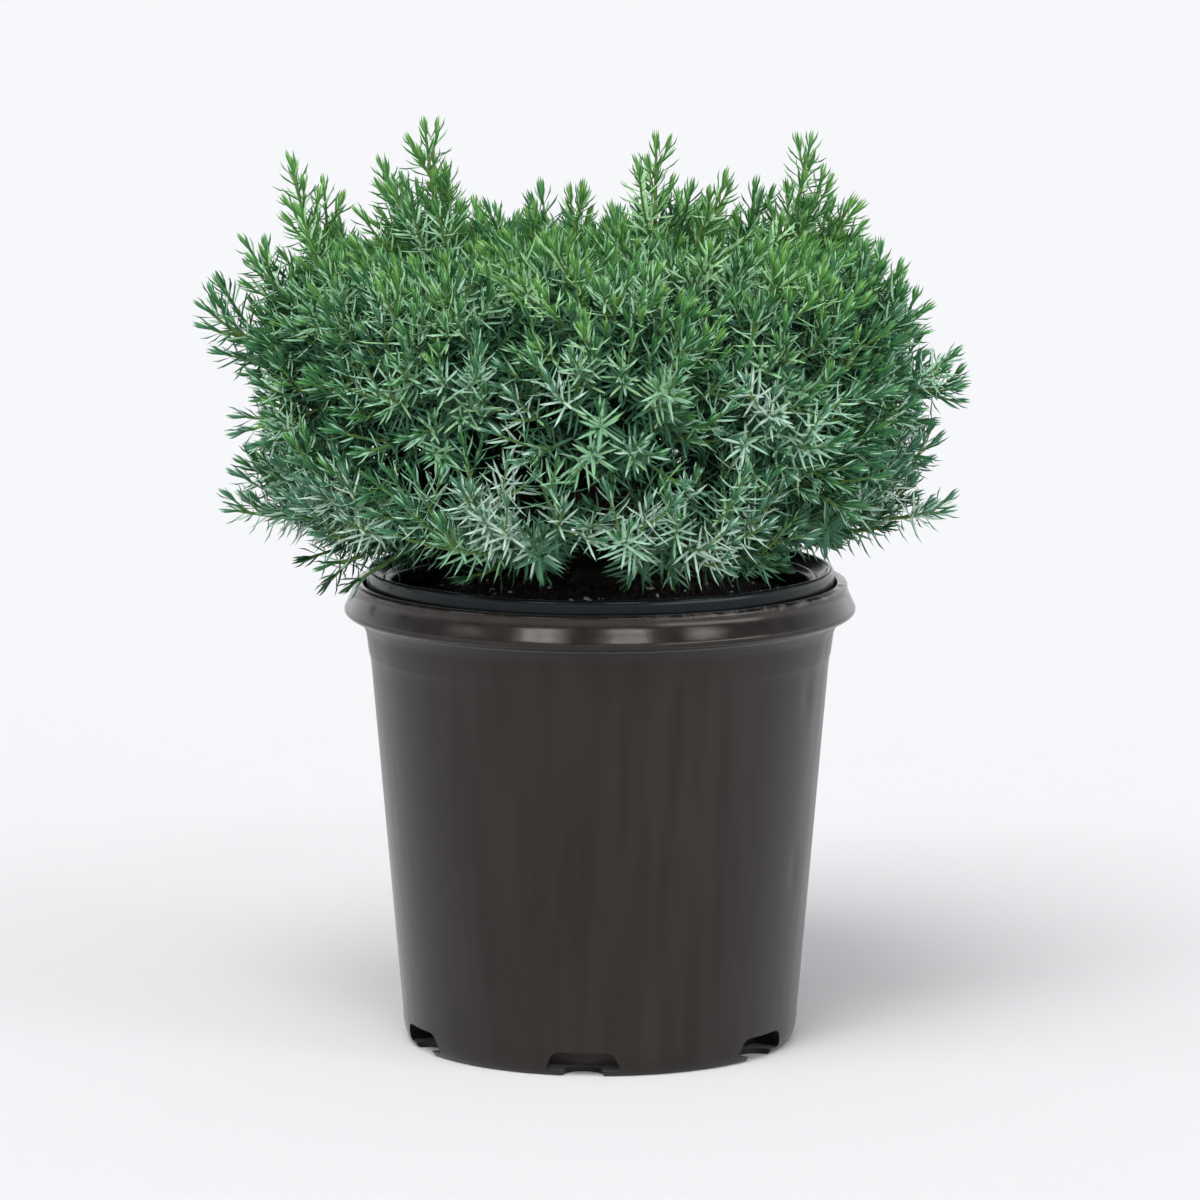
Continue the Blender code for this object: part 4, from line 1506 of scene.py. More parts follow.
    def targets(self) -> list[list[Vector]]:
        """Where branches end: leaders, the hem at the back, then an outer, an inner and a core layer.

        Returns:
            The targets of each mass, in the masses' order.
        """
        targets: list[list[Vector]] = [[] for _ in self.masses]
        for leader in self.leaders:
            tip = Vector([size / 1000 for size in leader])
            targets[self.nearest(tip)].append(tip)
        for index in range(self.hem_count):
            azimuth = 180.0 + self.hem_spread * ((index + 0.5) / self.hem_count - 0.5)
            target = heading_vector(azimuth, 0.0) * self.hem_radius + UP * self.hem_height
            targets[self.nearest(target)].append(target)
        layers = (
            (self.branch_count, self.outer_shares),
            (self.inner_count, self.inner_shares),
            (self.core_count, self.core_shares),
        )
        for count, shares in layers:
            for point in self.crown.targets(count):
                own = self.nearest(point)
                foot = self.masses[own].foot
                target = foot + (point - foot) * self.rng.uniform(*shares)
                top = self.ceiling(target)
                if self.rng.random() < self.spike_share:
                    top += self.rng.uniform(*self.spike_heights)
                target.z = min(target.z, top)
                bare = target.z < self.thin_below and self.rng.random() < self.bare_share
                if not self.left_open(target) and not (bare and target.y < self.back_from):
                    targets[own].append(target)
        return targets

    def grow(self) -> list[list[Line]]:
        """Grows every mass.

        Returns:
            The lines of each mass, in the masses' order.
        """
        grown: list[list[Line]] = []
        for mass, targets in zip(self.masses, self.targets()):
            lines = []
            for target in targets:
                branch = self.branch(mass, target)
                if branch is None:
                    continue
                lines.append(branch)
                stands_out = target.z > self.ceiling(target) or self.crown.measure(target) > 1.0
                lines.extend(self.offshoots(branch, self.spike_tiplet if stands_out else self.branch_tiplet))
                in_core = self.crown.measure(target) < self.shaded_within
                for side in self.offshoots(branch, self.core_side if in_core else self.side):
                    lines.append(side)
                    if not in_core:
                        lines.extend(self.offshoots(side, self.side_tiplet))
            for line in lines:
                line.tints = [self.shaded(point, line.tint) for point in line.points]
            grown.append(lines)
        shoots = sum(len(lines) for lines in grown)
        log.info("crown: %d shoots", shoots)
        return grown


CARRIER_ATTRIBUTES = ("from_tip", "from_root", "thickness", "spread", "tint", "adaxial", "bud", "bare")


def carrier_of(lines: Sequence[Line], name: str) -> bpy.types.Object:
    """A mesh of bare edges that carries shoots into a Geometry Nodes tree.

    Args:
        lines: The shoots.
        name: Name of the object.

    Returns:
        The carrier, with each point's place along its shoot as attributes.
    """
    points: list[Vector] = []
    edges: list[tuple[int, int]] = []
    columns: dict[str, list[float]] = {
        key: []
        for key in ("from_tip", "from_root", "thickness", "spread", "tint", "bare")
    }
    for line in lines:
        first = len(points)
        points.extend(line.points)
        edges.extend((first + i, first + i + 1) for i in range(len(line.points) - 1))
        length = line.length
        run = 0.0
        for index, point in enumerate(line.points):
            if index:
                run += (point - line.points[index - 1]).length
            share = run / length
            columns["from_root"].append(run)
            columns["from_tip"].append(length - run)
            columns["thickness"].append(line.root_radius + (line.tip_radius - line.root_radius) * share)
            columns["spread"].append(line.spread)
            columns["tint"].append(float(line.tints[index] if line.tints else line.tint))
            columns["bare"].append(line.bare)
    mesh = bpy.data.meshes.new(name)
    mesh.from_pydata(points, edges, [])
    for key, values in columns.items():
        attribute = mesh.attributes.new(key, "FLOAT", "POINT")
        attribute.data.foreach_set("value", values)
    return new_object(name, mesh)


# --- Bark, twigs and needles --------------------------------------------------------------------


@dataclass
class Limbs:
    """The stem and its boughs, with the relief of flaking bark."""

    sides: int = 20
    step: float = 0.0011
    relief: float = 0.0011
    flake_width: float = 0.0022
    flake_length: float = 0.0080
    flake_level: float = 0.62  # value of the noise at which the bark keeps its place
    smooth_below: float = 50.0
    # the bark is painted dark below 0.165 m, fading out by 0.185 m: painted shade under the crown on the
    # stem's foot and the low boughs
    finish: Crumbly = Crumbly("juniper_bark_flaking", "140E0A", "5E4836", 1.8 * MM, 0.3 * MM, 0.85, 0.165)

    def recipe(self) -> Recipe:
        """The tree that turns a line with a thickness into a limb with bark.

        Returns:
            The recipe.
        """
        recipe = Recipe(
            "barked_limb",
            {
                "Step": self.step, "Relief": self.relief, "Width": self.flake_width,
                "Length": self.flake_length,
            },
        )
        add = recipe.add
        curve = add("GeometryNodeMeshToCurve", {0: recipe.inputs["Geometry"]})
        fine = add(
            "GeometryNodeResampleCurve", {"Curve": curve, "Length": recipe.inputs["Step"]}, mode="LENGTH"
        )
        ring = add("GeometryNodeCurvePrimitiveCircle", {"Resolution": self.sides, "Radius": 1.0})
        thickness = recipe.attribute("thickness")
        tube = add(
            "GeometryNodeCurveToMesh",
            {"Curve": fine, "Profile Curve": ring, "Scale": thickness, "Fill Caps": True},
        )
        place = add("GeometryNodeInputPosition")
        width = add(MATH, {0: 1.0, 1: recipe.inputs["Width"]}, operation="DIVIDE")
        length = add(MATH, {0: 1.0, 1: recipe.inputs["Length"]}, operation="DIVIDE")
        scale = add("ShaderNodeCombineXYZ", {0: width, 1: width, 2: length})
        flake_place = add(VECTOR_MATH, {0: place, 1: scale}, operation="MULTIPLY")
        flakes = add(NOISE, {"Vector": flake_place, "Scale": 1.0, "Detail": 3.0})
        centred = add(MATH, {0: flakes, 1: self.flake_level}, operation="SUBTRACT")
        depth = add(MATH, {0: centred, 1: recipe.inputs["Relief"]}, operation="MULTIPLY")
        normal = add("GeometryNodeInputNormal")
        offset = add(VECTOR_MATH, {0: normal, "Scale": depth}, operation="SCALE")
        rough = add("GeometryNodeSetPosition", {"Geometry": tube, "Offset": offset})
        solid = add("GeometryNodeRealizeInstances", {0: rough})
        recipe.finish(add("GeometryNodeSetMaterial", {0: solid, "Material": self.finish.material()}))
        return recipe

    def build(self, stem: Stem, masses: Sequence[Mass]) -> None:
        """Makes the barked stem and the barked boughs.

        Args:
            stem: The stem.
            masses: The masses, each with its bough.
        """
        recipe = self.recipe()
        trunk = [stem.point(height) for height, _ in stem.stations]
        carrier = carrier_of([Line(trunk, 1.0, 1.0, 0.0)], "stem_bark")
        radii = [radius for _, radius in stem.stations]
        carrier.data.attributes["thickness"].data.foreach_set("value", radii)
        piece = recipe.run(carrier, "stem_bark")
        shade_smooth(piece.data, self.smooth_below)
        declare(piece, ["stem"])
        boughs = [Line(mass.path, mass.radii[0], mass.radii[-1], 0.0) for mass in masses]
        piece = recipe.run(carrier_of(boughs, "bough_bark"), "bough_bark")
        shade_smooth(piece.data, self.smooth_below)
        declare(piece, [mass.bough_node for mass in masses])


@dataclass
class Foliage:
    """The needled shoots: twigs, whorls of three awl-shaped needles, and buds of close young ones."""

    pot: NurseryPot
    liner: LinerPot
    mix: PottingMix
    needle_length: float = 0.0098
    needle_width: float = 0.00082
    needle_depth: float = 0.00045
    needle_bow: float = 0.00040
    foot_share: float = 0.92  # width at the needle's foot as a share of the widest
    widest_share: float = 0.68  # where it is widest, as a share of its length
    whorl_pitch: float = 0.0025
    whorl: int = 3
    lean_tip: float = 15.0
    lean_foot: float = 62.0
    opening: float = 0.0072  # distance from the tip at which the needles stand widest
    lean_stray: float = 6.0
    turn_stray: float = 8.0
    young_over: float = 0.010  # distance from the tip over which the needles grow to full length
    young_share: float = 0.72  # length of the first of them, as a share
    length_stray: tuple[float, float] = (0.88, 1.08)
    shaded_girth: float = 2.0  # width of a needle with the SHADED tint, painted shade deep in the crown, where few must fill the space
    bud_needles: int = 3
    bud_share: float = 0.72  # length of a bud's needles as a share of a grown one's
    bud_lean: float = 10.0
    bud_inner: float = 0.55  # lean of every other needle of a bud, as a share
    bud_drop: float = 0.0022  # how far the needles between them sit lower
    twig_sides: int = 4
    young_length: float = 0.0240  # a twig is still green this far from its tip
    clearance: float = 0.0004
    roughnesses: tuple[float, float, float] = (0.62, 0.46, 0.42)  # of upper side, under side and bud
    woody: Crumbly = Crumbly("juniper_twig_woody", "2C2016", "54422E", 1.2 * MM, 0.12 * MM, 0.8)
    green: WaxedLeaf = WaxedLeaf("juniper_twig_green", "5E7C40", 0.5)
    smooth_below: float = 70.0
    axis_share: float = 0.52  # how far into its mass a bough's axis runs
    axis_points: int = 8
    axis_taper: float = 0.5
    seed: int = 5

    def needle(self, shape: bmesh.types.BMesh, place: Matrix, share: float = 1.0) -> None:
        """Adds one needle to a mesh: flat above, keeled below, bowed a little, sharp at the end.

        Args:
            shape: The mesh under construction.
            place: Turn and place of the needle, whose own length is along Z and upper side towards +Y.
            share: Length as a share of a grown needle's.
        """
        length, half, depth = self.needle_length * share, self.needle_width / 2, self.needle_depth
        upper = depth * 0.25 - self.needle_bow
        corners = (
            (-half * self.foot_share, 0.0, 0.0),
            (half * self.foot_share, 0.0, 0.0),
            (-half, upper, length * self.widest_share),
            (half, upper, length * self.widest_share),
            (0.0, upper - depth, length * self.widest_share),
            (0.0, 0.0, length),
        )
        left, right, wide_left, wide_right, keel, tip = (shape.verts.new(place @ Vector(c)) for c in corners)
        flag = shape.faces.layers.bool["adaxial"]
        for corners_above in ((left, right, wide_right, wide_left), (wide_left, wide_right, tip)):
            shape.faces.new(corners_above)[flag] = True
        for corners_below in (
            (left, wide_left, keel),
            (right, keel, wide_right),
            (right, left, keel),
            (keel, wide_left, tip),
            (wide_right, keel, tip),
        ):
            shape.faces.new(corners_below)

    def pattern(self, name: str, places: Sequence[Matrix], share: float) -> bpy.types.Object:
        """A pattern object of one or more needles, for the tree to repeat.

        Args:
            name: Name of the object.
            places: Turn and place of each needle.
            share: Length of the needles as a share of a grown one's.

        Returns:
            The pattern, which is removed once the pieces are made.
        """
        shape = bmesh.new()
        shape.faces.layers.bool.new("adaxial")
        for place in places:
            self.needle(shape, place, share)
        bmesh.ops.recalc_face_normals(shape, faces=shape.faces)
        mesh = bpy.data.meshes.new(name)
        shape.to_mesh(mesh)
        shape.free()
        return new_object(name, mesh)

    def bud_places(self) -> list[Matrix]:
        """Turn and place of each young needle of a bud.

        Returns:
            A matrix for each needle.
        """
        places = []
        for index in range(self.bud_needles):
            turn = Matrix.Rotation(index * math.tau / self.bud_needles, 4, "Z")
            share = 1.0 if index % 2 else self.bud_inner
            lean = Matrix.Rotation(math.radians(self.bud_lean * share), 4, "X")
            drop = Matrix.Translation((0.0, 0.0, -self.bud_drop * (index % 2)))
            places.append(turn @ lean @ drop)
        return places

    def needle_recipe(self, finishes: dict[tuple[int, str], bpy.types.Material]) -> Recipe:
        """The tree that sets whorls of needles along shoots and a bud on each tip.

        Args:
            finishes: The material of each tint's upper side, under side and bud.

        Returns:
            The recipe.
        """
        needle = self.pattern("needle_pattern", [Matrix.Identity(4)], 1.0)
        bud = self.pattern("bud_pattern", self.bud_places(), self.bud_share)
        self.patterns = [needle, bud]
        recipe = Recipe(
            "needled_shoots",
            {
                "Needle": needle, "Bud": bud, "Pitch": self.whorl_pitch, "Whorl": self.whorl,
                "Lean Tip": math.radians(self.lean_tip), "Lean Foot": math.radians(self.lean_foot),
                "Lean Stray": math.radians(self.lean_stray), "Opening": self.opening,
                "Needle Length": self.needle_length, "Seed": self.seed,
            },
        )
        given, add, link = recipe.inputs, recipe.add, recipe.tree.links.new
        curve = add("GeometryNodeMeshToCurve", {0: given["Geometry"]})
        whorls = add("GeometryNodeResampleCurve", {"Curve": curve, "Length": given["Pitch"]}, mode="LENGTH")
        stations = add("GeometryNodeCurveToPoints", {"Curve": whorls}, mode="EVALUATED").node.outputs
        from_root, bare = recipe.attribute("from_root"), recipe.attribute("bare")
        is_bare = add(COMPARE, {0: from_root, 1: bare}, operation="LESS_THAN")
        number = add("GeometryNodeInputIndex")
        half_step = add(MATH, {0: number, 1: math.pi / self.whorl}, operation="MULTIPLY")
        kept_turn = add("GeometryNodeCaptureAttribute", {"Geometry": stations["Points"]}, domain="POINT").node
        kept_turn.capture_items.new("FLOAT", "Turn")
        link(half_step, kept_turn.inputs["Turn"])
        leafy = add(
            "GeometryNodeDeleteGeometry", {0: kept_turn.outputs["Geometry"], 1: is_bare}, domain="POINT"
        )
        copies = add(
            "GeometryNodeDuplicateElements", {"Geometry": leafy, "Amount": given["Whorl"]}, domain="POINT"
        ).node.outputs
        step = add(MATH, {0: math.tau, 1: given["Whorl"]}, operation="DIVIDE")
        around = add(
            MATH, {0: copies["Duplicate Index"], 1: step, 2: kept_turn.outputs["Turn"]},
            operation="MULTIPLY_ADD",
        )
        stray = math.radians(self.turn_stray)
        stray_turn = add(RANDOM, {2: -stray, 3: stray, "Seed": given["Seed"]}, 1, data_type="FLOAT")
        angle = add(MATH, {0: around, 1: stray_turn}, operation="ADD")
        from_tip = recipe.attribute("from_tip")
        open_lean = add(
            RANGE,
            {
                "Value": from_tip, "From Min": 0.0, "From Max": given["Opening"],
                "To Min": given["Lean Tip"], "To Max": given["Lean Foot"],
            },
            interpolation_type="SMOOTHSTEP",
        )
        spread_lean = add(MATH, {0: open_lean, 1: recipe.attribute("spread")}, operation="MULTIPLY")
        stray_share = add(RANDOM, {2: -1.0, 3: 1.0, "Seed": self.seed + 1}, 1, data_type="FLOAT")
        lean = add(MATH, {0: stray_share, 1: given["Lean Stray"], 2: spread_lean}, operation="MULTIPLY_ADD")
        grown = add(
            RANGE,
            {
                "Value": from_tip, "From Min": 0.0, "From Max": self.young_over, "To Min": self.young_share,
                "To Max": 1.0,
            },
        )
        shortest, longest = self.length_stray
        stray_size = add(RANDOM, {2: shortest, 3: longest, "Seed": self.seed + 2}, 1, data_type="FLOAT")
        size = add(MATH, {0: grown, 1: stray_size}, operation="MULTIPLY")
        # needles with the SHADED tint, which is painted shade, are drawn wider
        deep = add(
            COMPARE, {0: recipe.attribute("tint"), 1: Tint.SHADED.number - 0.5}, operation="GREATER_THAN"
        )
        girth = add(
            "GeometryNodeSwitch", {"Switch": deep, "False": 1.0, "True": self.shaded_girth},
            input_type="FLOAT",
        )
        scale = add("ShaderNodeCombineXYZ", {0: girth, 1: 1.0, 2: size})
        along = add("FunctionNodeAlignRotationToVector", {"Vector": stations["Tangent"]}, axis="Z")
        squared = add(
            "FunctionNodeAlignRotationToVector", {"Rotation": along, "Vector": stations["Normal"]},
            axis="X", pivot_axis="Z",
        )
        spin = add("FunctionNodeAxisAngleToRotation", {"Axis": (0.0, 0.0, 1.0), "Angle": angle})
        spun = add(
            "FunctionNodeRotateRotation", {"Rotation": squared, "Rotate By": spin}, rotation_space="LOCAL"
        )
        tilt = add("FunctionNodeAxisAngleToRotation", {"Axis": (1.0, 0.0, 0.0), "Angle": lean})
        turned_out = add(
            "FunctionNodeRotateRotation", {"Rotation": spun, "Rotate By": tilt}, rotation_space="LOCAL"
        )
        clear = self.add_pot_test(recipe, copies["Geometry"], turned_out)
        one_needle, one_bud = (
            add("GeometryNodeObjectInfo", {0: given[shape]}, "Geometry")
            for shape in ("Needle", "Bud")
        )
        needles = add(
            "GeometryNodeInstanceOnPoints",
            {"Points": clear, "Instance": one_needle, "Rotation": turned_out, "Scale": scale},
        )
        is_bud = add(COMPARE, {0: from_tip, 1: self.clearance / 4}, operation="LESS_THAN")
        stations_all = add("GeometryNodeCurveToPoints", {"Curve": curve}, mode="EVALUATED").node.outputs
        ends = add("GeometryNodeSeparateGeometry", {0: stations_all["Points"], 1: is_bud}, domain="POINT")
        flagged = add(
            "GeometryNodeStoreNamedAttribute", {"Geometry": ends, "Name": "bud", "Value": True},
            data_type="BOOLEAN", domain="POINT",
        )
        bud_rotation = add("FunctionNodeAlignRotationToVector", {"Vector": stations_all["Tangent"]}, axis="Z")
        buds = add(
            "GeometryNodeInstanceOnPoints",
            {"Points": flagged, "Instance": one_bud, "Rotation": bud_rotation},
        )
        joined = add("GeometryNodeJoinGeometry")
        for part in (needles, buds):
            link(part, joined.node.inputs[0])
        solid = add("GeometryNodeRealizeInstances", {0: joined})
        recipe.finish(self.add_finishes(recipe, solid, finishes))
        return recipe

    def add_pot_test(self, recipe: Recipe, points: Socket, rotation: Socket) -> Socket:
        """Leaves out the needles whose points would enter the rims or the mix.

        Args:
            recipe: The recipe under construction.
            points: The points that needles will stand on.
            rotation: The needles' turn.

        Returns:
            The points that are left.
        """
        add = recipe.add
        reach = add("ShaderNodeCombineXYZ", {2: recipe.inputs["Needle Length"]})
        away = add("FunctionNodeRotateVector", {"Vector": reach, "Rotation": rotation})
        place = add("GeometryNodeInputPosition")
        end = add(VECTOR_MATH, {0: place, 1: away}, operation="ADD")
        height = add("ShaderNodeSeparateXYZ", {0: end}, "Z")
        flat = add(VECTOR_MATH, {0: end, 1: (1.0, 1.0, 0.0)}, operation="MULTIPLY")
        radius = add(VECTOR_MATH, {0: flat}, "Value", operation="LENGTH")
        below_rim = add(COMPARE, {0: height, 1: self.liner.top + self.clearance}, operation="LESS_THAN")
        past_bore = add(
            COMPARE, {0: radius, 1: self.liner.inner_radius - self.clearance}, operation="GREATER_THAN"
        )
        in_collar = add(
            COMPARE, {0: radius, 1: self.pot.collar_radius + self.clearance}, operation="LESS_THAN"
        )
        over_rim = add(LOGIC, {0: past_bore, 1: in_collar}, operation="AND")
        in_rim = add(LOGIC, {0: over_rim, 1: below_rim}, operation="AND")
        in_mix = add(COMPARE, {0: height, 1: self.mix.edge_height}, operation="LESS_THAN")
        inside_pot = add(LOGIC, {0: in_mix, 1: in_collar}, operation="AND")
        hidden = add(LOGIC, {0: in_rim, 1: inside_pot}, operation="OR")
        return add("GeometryNodeDeleteGeometry", {0: points, 1: hidden}, domain="POINT")

    def add_finishes(
        self, recipe: Recipe, geometry: Socket, finishes: dict[tuple[int, str], bpy.types.Material]
    ) -> Socket:
        """Gives each face the material of its tint and its side of the needle.

        Args:
            recipe: The recipe under construction.
            geometry: The realized needles.
            finishes: The material of each tint's upper side, under side and bud.

        Returns:
            The dressed geometry.
        """
        add = recipe.add
        tint = recipe.attribute("tint")
        adaxial = recipe.attribute("adaxial", "BOOLEAN")
        bud = recipe.attribute("bud", "BOOLEAN")
        grown = add(LOGIC, {0: bud}, operation="NOT")
        under = add(LOGIC, {0: adaxial}, operation="NOT")
        kinds = {
            "upper": add(LOGIC, {0: adaxial, 1: grown}, operation="AND"),
            "under": add(LOGIC, {0: under, 1: grown}, operation="AND"), "bud": bud,
        }
        for (number, kind), material in finishes.items():
            own_tint = add(COMPARE, {0: tint, 1: float(number), "Epsilon": 0.5}, operation="EQUAL")
            chosen = add(LOGIC, {0: own_tint, 1: kinds[kind]}, operation="AND")
            geometry = add(
                "GeometryNodeSetMaterial", {0: geometry, "Selection": chosen, "Material": material}
            )
        return geometry

    def twig_recipe(self, old: bpy.types.Material, young: bpy.types.Material) -> Recipe:
        """The tree that turns shoots into tapering twigs, green near their tips.

        Args:
            old: The finish of the older wood.
            young: The finish of the green ends.

        Returns:
            The recipe.
        """
        recipe = Recipe("tapering_twigs", {"Young Length": self.young_length})
        add = recipe.add
        curve = add("GeometryNodeMeshToCurve", {0: recipe.inputs["Geometry"]})
        thickness = recipe.attribute("thickness")
        ring = add("GeometryNodeCurvePrimitiveCircle", {"Resolution": self.twig_sides, "Radius": 1.0})
        tube = add(
            "GeometryNodeCurveToMesh",
            {"Curve": curve, "Profile Curve": ring, "Scale": thickness, "Fill Caps": True},
        )
        solid = add("GeometryNodeRealizeInstances", {0: tube})
        near_tip = add(
            COMPARE, {0: recipe.attribute("from_tip"), 1: recipe.inputs["Young Length"]},
            operation="LESS_THAN",
        )
        dressed = add("GeometryNodeSetMaterial", {0: solid, "Material": old})
        recipe.finish(
            add("GeometryNodeSetMaterial", {0: dressed, "Selection": near_tip, "Material": young})
        )
        return recipe

    @staticmethod
    def groups(masses: Sequence[Mass]) -> dict[str, list[int]]:
        """Shares the masses out between pieces by tier and side.

        Args:
            masses: Every mass of the crown.

        Returns:
            The numbers of the masses in each group, by the group's name.
        """
        groups: dict[str, list[int]] = {}
        for own, mass in enumerate(masses):
            name = mass.tier.name
            if name in ("low", "middle"):
                front = math.cos(math.radians(mass.azimuth)) > 0
                name += "_front" if front else "_back"
            groups.setdefault(name, []).append(own)
        return groups

    def build(self, growth: Growth) -> None:
        """Grows the crown and makes its needles and twigs, group by group.

        Args:
            growth: The rule by which it grows.
        """
        grown = growth.grow()
        finishes = {}
        for tint in Tint:
            for kind, colour, roughness in zip(("upper", "under", "bud"), tint.value, self.roughnesses):
                leaf = WaxedLeaf(f"juniper_needle_{kind}_{tint.name.lower()}", colour, roughness)
                finishes[tint.number, kind] = leaf.material()
        needle_recipe = self.needle_recipe(finishes)
        twig_recipe = self.twig_recipe(self.woody.material(), self.green.material())
        for name, members in self.groups(growth.masses).items():
            lines = [line for own in members for line in grown[own]]
            nodes = [growth.masses[own].foliage_node for own in members]
            piece = needle_recipe.run(carrier_of(lines, f"{name}_needles"), f"{name}_needles")
            declare(piece, nodes)
            axes = [self.mass_axis(growth.masses[own]) for own in members]
            piece = twig_recipe.run(carrier_of(axes + lines, f"{name}_twigs"), f"{name}_twigs")
            shade_smooth(piece.data, self.smooth_below)
            declare(piece, nodes)
        for pattern in self.patterns:
            bpy.data.objects.remove(pattern)

    def mass_axis(self, mass: Mass) -> Line:
        """The woody axis of a mass, on from its bough's tip.

        Args:
            mass: The mass.

        Returns:
            Its axis, which carries no needles.
        """
        length = mass.reach * self.axis_share
        steps = self.axis_points - 1
        points = [mass.foot + mass.heading * (length * step / steps) for step in range(self.axis_points)]
        return Line(points, float(mass.radii[-1]), float(mass.radii[-1]) * self.axis_taper, length)


# --- Studio -------------------------------------------------------------------------------------


@dataclass(frozen=True)
class LampRow:
    """A row of strip lamps round the front of the studio, seen only as streaks on glossy edges."""

    middle: float  # azimuth of one lamp's middle, in degrees
    spacing: float  # degrees from lamp to lamp
    lit_share: float  # share of the spacing that a lamp takes
    first: float  # azimuths between which the row runs
    last: float
    height: float  # sine of the elevation
    thickness: float  # half of the row's height, in the same measure
    strength: float


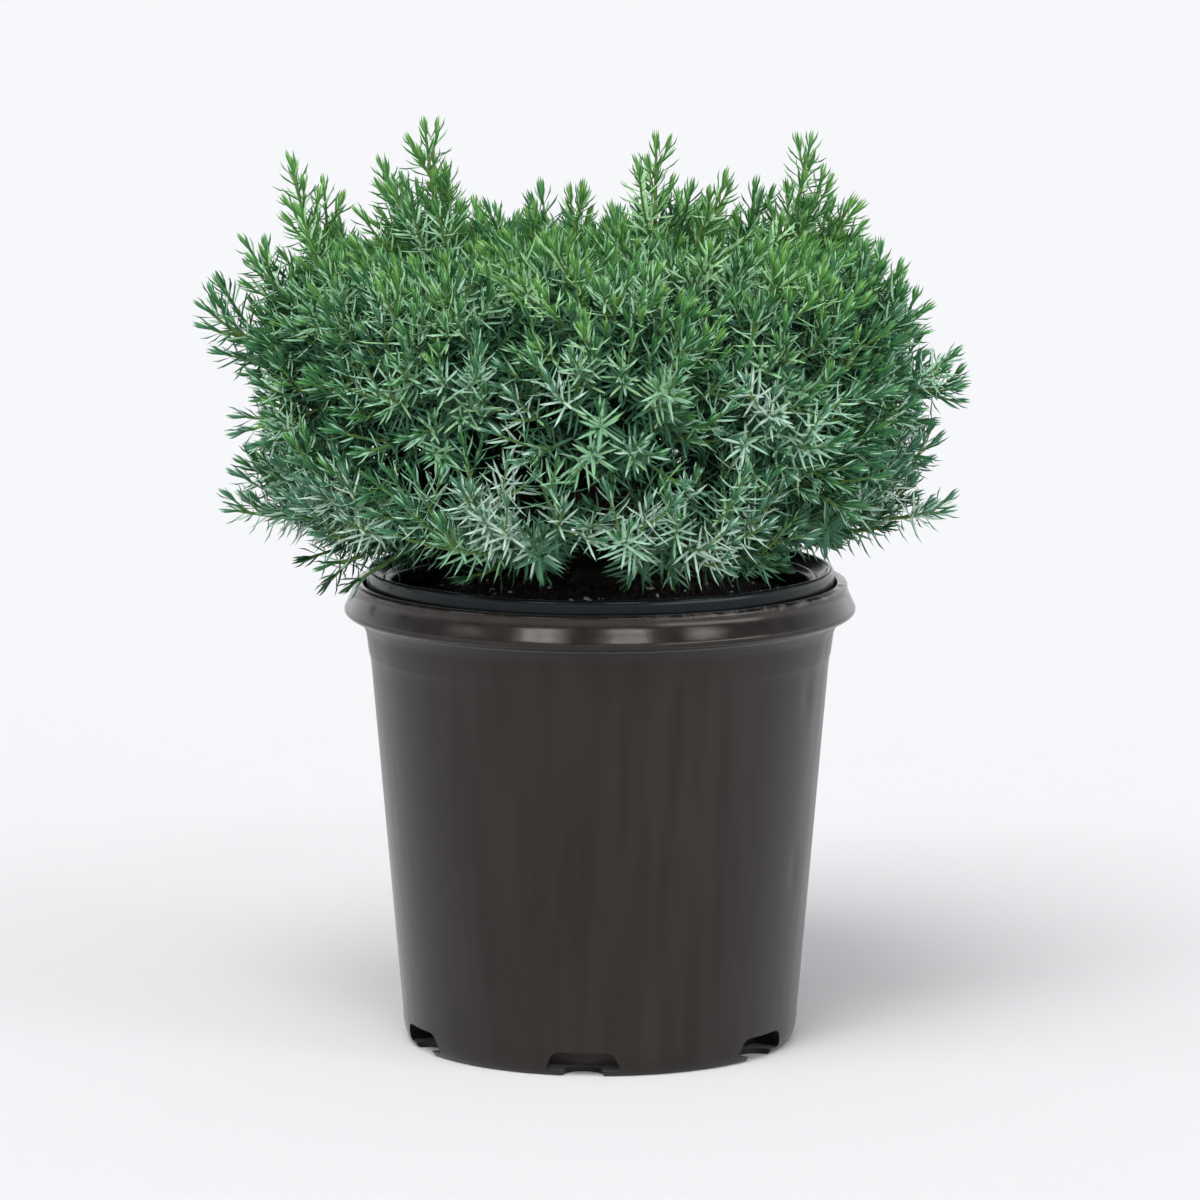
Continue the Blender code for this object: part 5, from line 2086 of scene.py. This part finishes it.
@dataclass(frozen=True)
class Studio:
    """A pale floor without an edge in view, soft light from all round, and the camera."""

    floor_colour: str = "DBDBDC"
    floor_size: float = 60.0
    camera_place: tuple[float, float, float] = (0.0, -2.0, 0.4449)
    camera_down: float = 8.577  # degrees below level
    focal_length: float = 187.965  # mm
    sensor: float = 36.0
    sky_low: float = 1.35  # strength of the sky near the horizon, which the pot's edges mirror
    sky_high: float = 0.36  # and higher up
    sky_rise: tuple[float, float] = (0.15, 0.5)  # sine of the elevation over which it changes
    sky_colour: str = "FBFCFF"
    key_power: float = 2.15
    key_turn: tuple[float, float, float] = (34.0, 0.0, -20.0)
    key_softness: float = 36.0
    lamp_rows: tuple[LampRow, ...] = (
        LampRow(-30.0, 44.0, 0.45, -100.0, 80.0, 0.62, 0.035, 12.0),
        LampRow(54.0, 200.0, 0.26, 20.0, 90.0, 0.30, 0.110, 4.0),
    )
    lamp_edge: float = 0.12  # how softly a lamp's light ends, as a share of its size

    def build(self) -> None:
        """Lays the floor, lights it and sets up the camera."""
        scene = bpy.context.scene
        scene.view_settings.view_transform = "Standard"
        self.lay_floor()
        self.light_sky(scene)
        self.add_key()
        camera = bpy.data.objects.new("camera", bpy.data.cameras.new("camera"))
        camera.location = self.camera_place
        camera.rotation_euler = (math.radians(90.0 - self.camera_down), 0.0, 0.0)
        camera.data.lens = self.focal_length
        camera.data.sensor_width = self.sensor
        scene.collection.objects.link(camera)
        scene.camera = camera

    def lay_floor(self) -> None:
        """Lays the floor just under the pot."""
        half = self.floor_size / 2
        mesh = bpy.data.meshes.new("floor")
        corners = [(-half, -half, 0.0), (half, -half, 0.0), (half, half, 0.0), (-half, half, 0.0)]
        mesh.from_pydata(corners, [], [(0, 1, 2, 3)])
        material, shader = new_material("studio_paper", 1.0, 1.0)
        shader.inputs["Base Color"].default_value = linear(self.floor_colour)
        mesh.materials.append(material)
        new_object("floor", mesh)

    def light_sky(self, scene: bpy.types.Scene) -> None:
        """Lights the room evenly, brighter low down, with rows of strip lamps round the front.

        Args:
            scene: The scene to light.
        """
        world = bpy.data.worlds.new("studio")
        world.use_nodes = True
        scene.world = world
        nodes = Nodes(world.node_tree)
        add = nodes.add
        direction = add("ShaderNodeTexCoord", output="Generated")
        parts = add("ShaderNodeSeparateXYZ", {0: direction}).node.outputs
        light = add(
            RANGE,
            {
                "Value": parts["Z"], "From Min": self.sky_rise[0], "From Max": self.sky_rise[1],
                "To Min": self.sky_low, "To Max": self.sky_high,
            },
            interpolation_type="SMOOTHSTEP",
        )
        frontward = add(MATH, {0: parts["Y"], 1: -1.0}, operation="MULTIPLY")
        azimuth = add(MATH, {0: parts["X"], 1: frontward}, operation="ARCTAN2")
        for row in self.lamp_rows:
            light = self.add_lamps(nodes, row, azimuth, parts["Z"], light)
        background = world.node_tree.nodes["Background"]
        background.inputs["Color"].default_value = linear(self.sky_colour)
        world.node_tree.links.new(light, background.inputs["Strength"])

    def add_key(self) -> None:
        """Adds the main lamp: large, soft, and too far away to show in the plastic's gloss."""
        lamp = bpy.data.lights.new("key", "SUN")
        lamp.energy = self.key_power
        lamp.angle = math.radians(self.key_softness)
        holder = bpy.data.objects.new("key", lamp)
        holder.rotation_euler = [math.radians(angle) for angle in self.key_turn]
        holder.visible_glossy = False
        bpy.context.scene.collection.objects.link(holder)

    def box(self, nodes: Nodes, value: Socket, middle: float, half: float) -> Socket:
        """A value of 1 near a middle and 0 away from it, with a soft edge.

        Args:
            nodes: The world's tree.
            value: What is compared.
            middle: Where the result is 1.
            half: How far from there it ends.

        Returns:
            The socket with the result.
        """
        add = nodes.add
        away = add(MATH, {0: value, 1: middle}, operation="SUBTRACT")
        distance = add(MATH, {0: away}, operation="ABSOLUTE")
        return add(
            RANGE,
            {
                "Value": distance, "From Min": half * (1 + self.lamp_edge),
                "From Max": half * (1 - self.lamp_edge),
            },
            interpolation_type="SMOOTHSTEP",
        )

    def add_lamps(self, nodes: Nodes, row: LampRow, azimuth: Socket, height: Socket, light: Socket) -> Socket:
        """Adds a row of lamps to the sky.

        Args:
            nodes: The world's tree.
            row: The row of lamps.
            azimuth: Azimuth of the direction looked in, in radians.
            height: Sine of its elevation.
            light: The sky's strength so far.

        Returns:
            The strength with the row's light added.
        """
        add = nodes.add
        spacing = math.radians(row.spacing)
        steps = add(
            MATH, {0: azimuth, 1: 1 / spacing, 2: 0.5 - row.middle / row.spacing}, operation="MULTIPLY_ADD"
        )
        within = add(MATH, {0: steps}, operation="FRACT")
        lamps = self.box(nodes, within, 0.5, row.lit_share / 2)
        middle = math.radians((row.first + row.last) / 2)
        reach = self.box(nodes, azimuth, middle, math.radians(row.last - row.first) / 2)
        level = self.box(nodes, height, row.height, row.thickness)
        in_row = add(MATH, {0: lamps, 1: reach}, operation="MULTIPLY")
        lit = add(MATH, {0: in_row, 1: level}, operation="MULTIPLY")
        return add(MATH, {0: lit, 1: row.strength, 2: light}, operation="MULTIPLY_ADD")


def main() -> None:
    """Builds every piece round the frame, then the studio."""
    logging.basicConfig(level=logging.INFO, format="%(message)s")
    pot = NurseryPot(height=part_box("pot")[1].z)
    liner = LinerPot(top=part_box("liner")[1].z)
    mix = PottingMix(top=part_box("potting_mix")[1].z)
    stem = Stem(foot=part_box("stem")[0].z)
    growth = Growth(stem, Crown(), pot, liner, mix)
    pot.build()
    liner.build(pot)
    mix.build(pot, liner)
    Limbs().build(stem, growth.masses)
    Foliage(pot, liner, mix).build(growth)
    Studio().build()


if __name__ == "__main__":
    main()
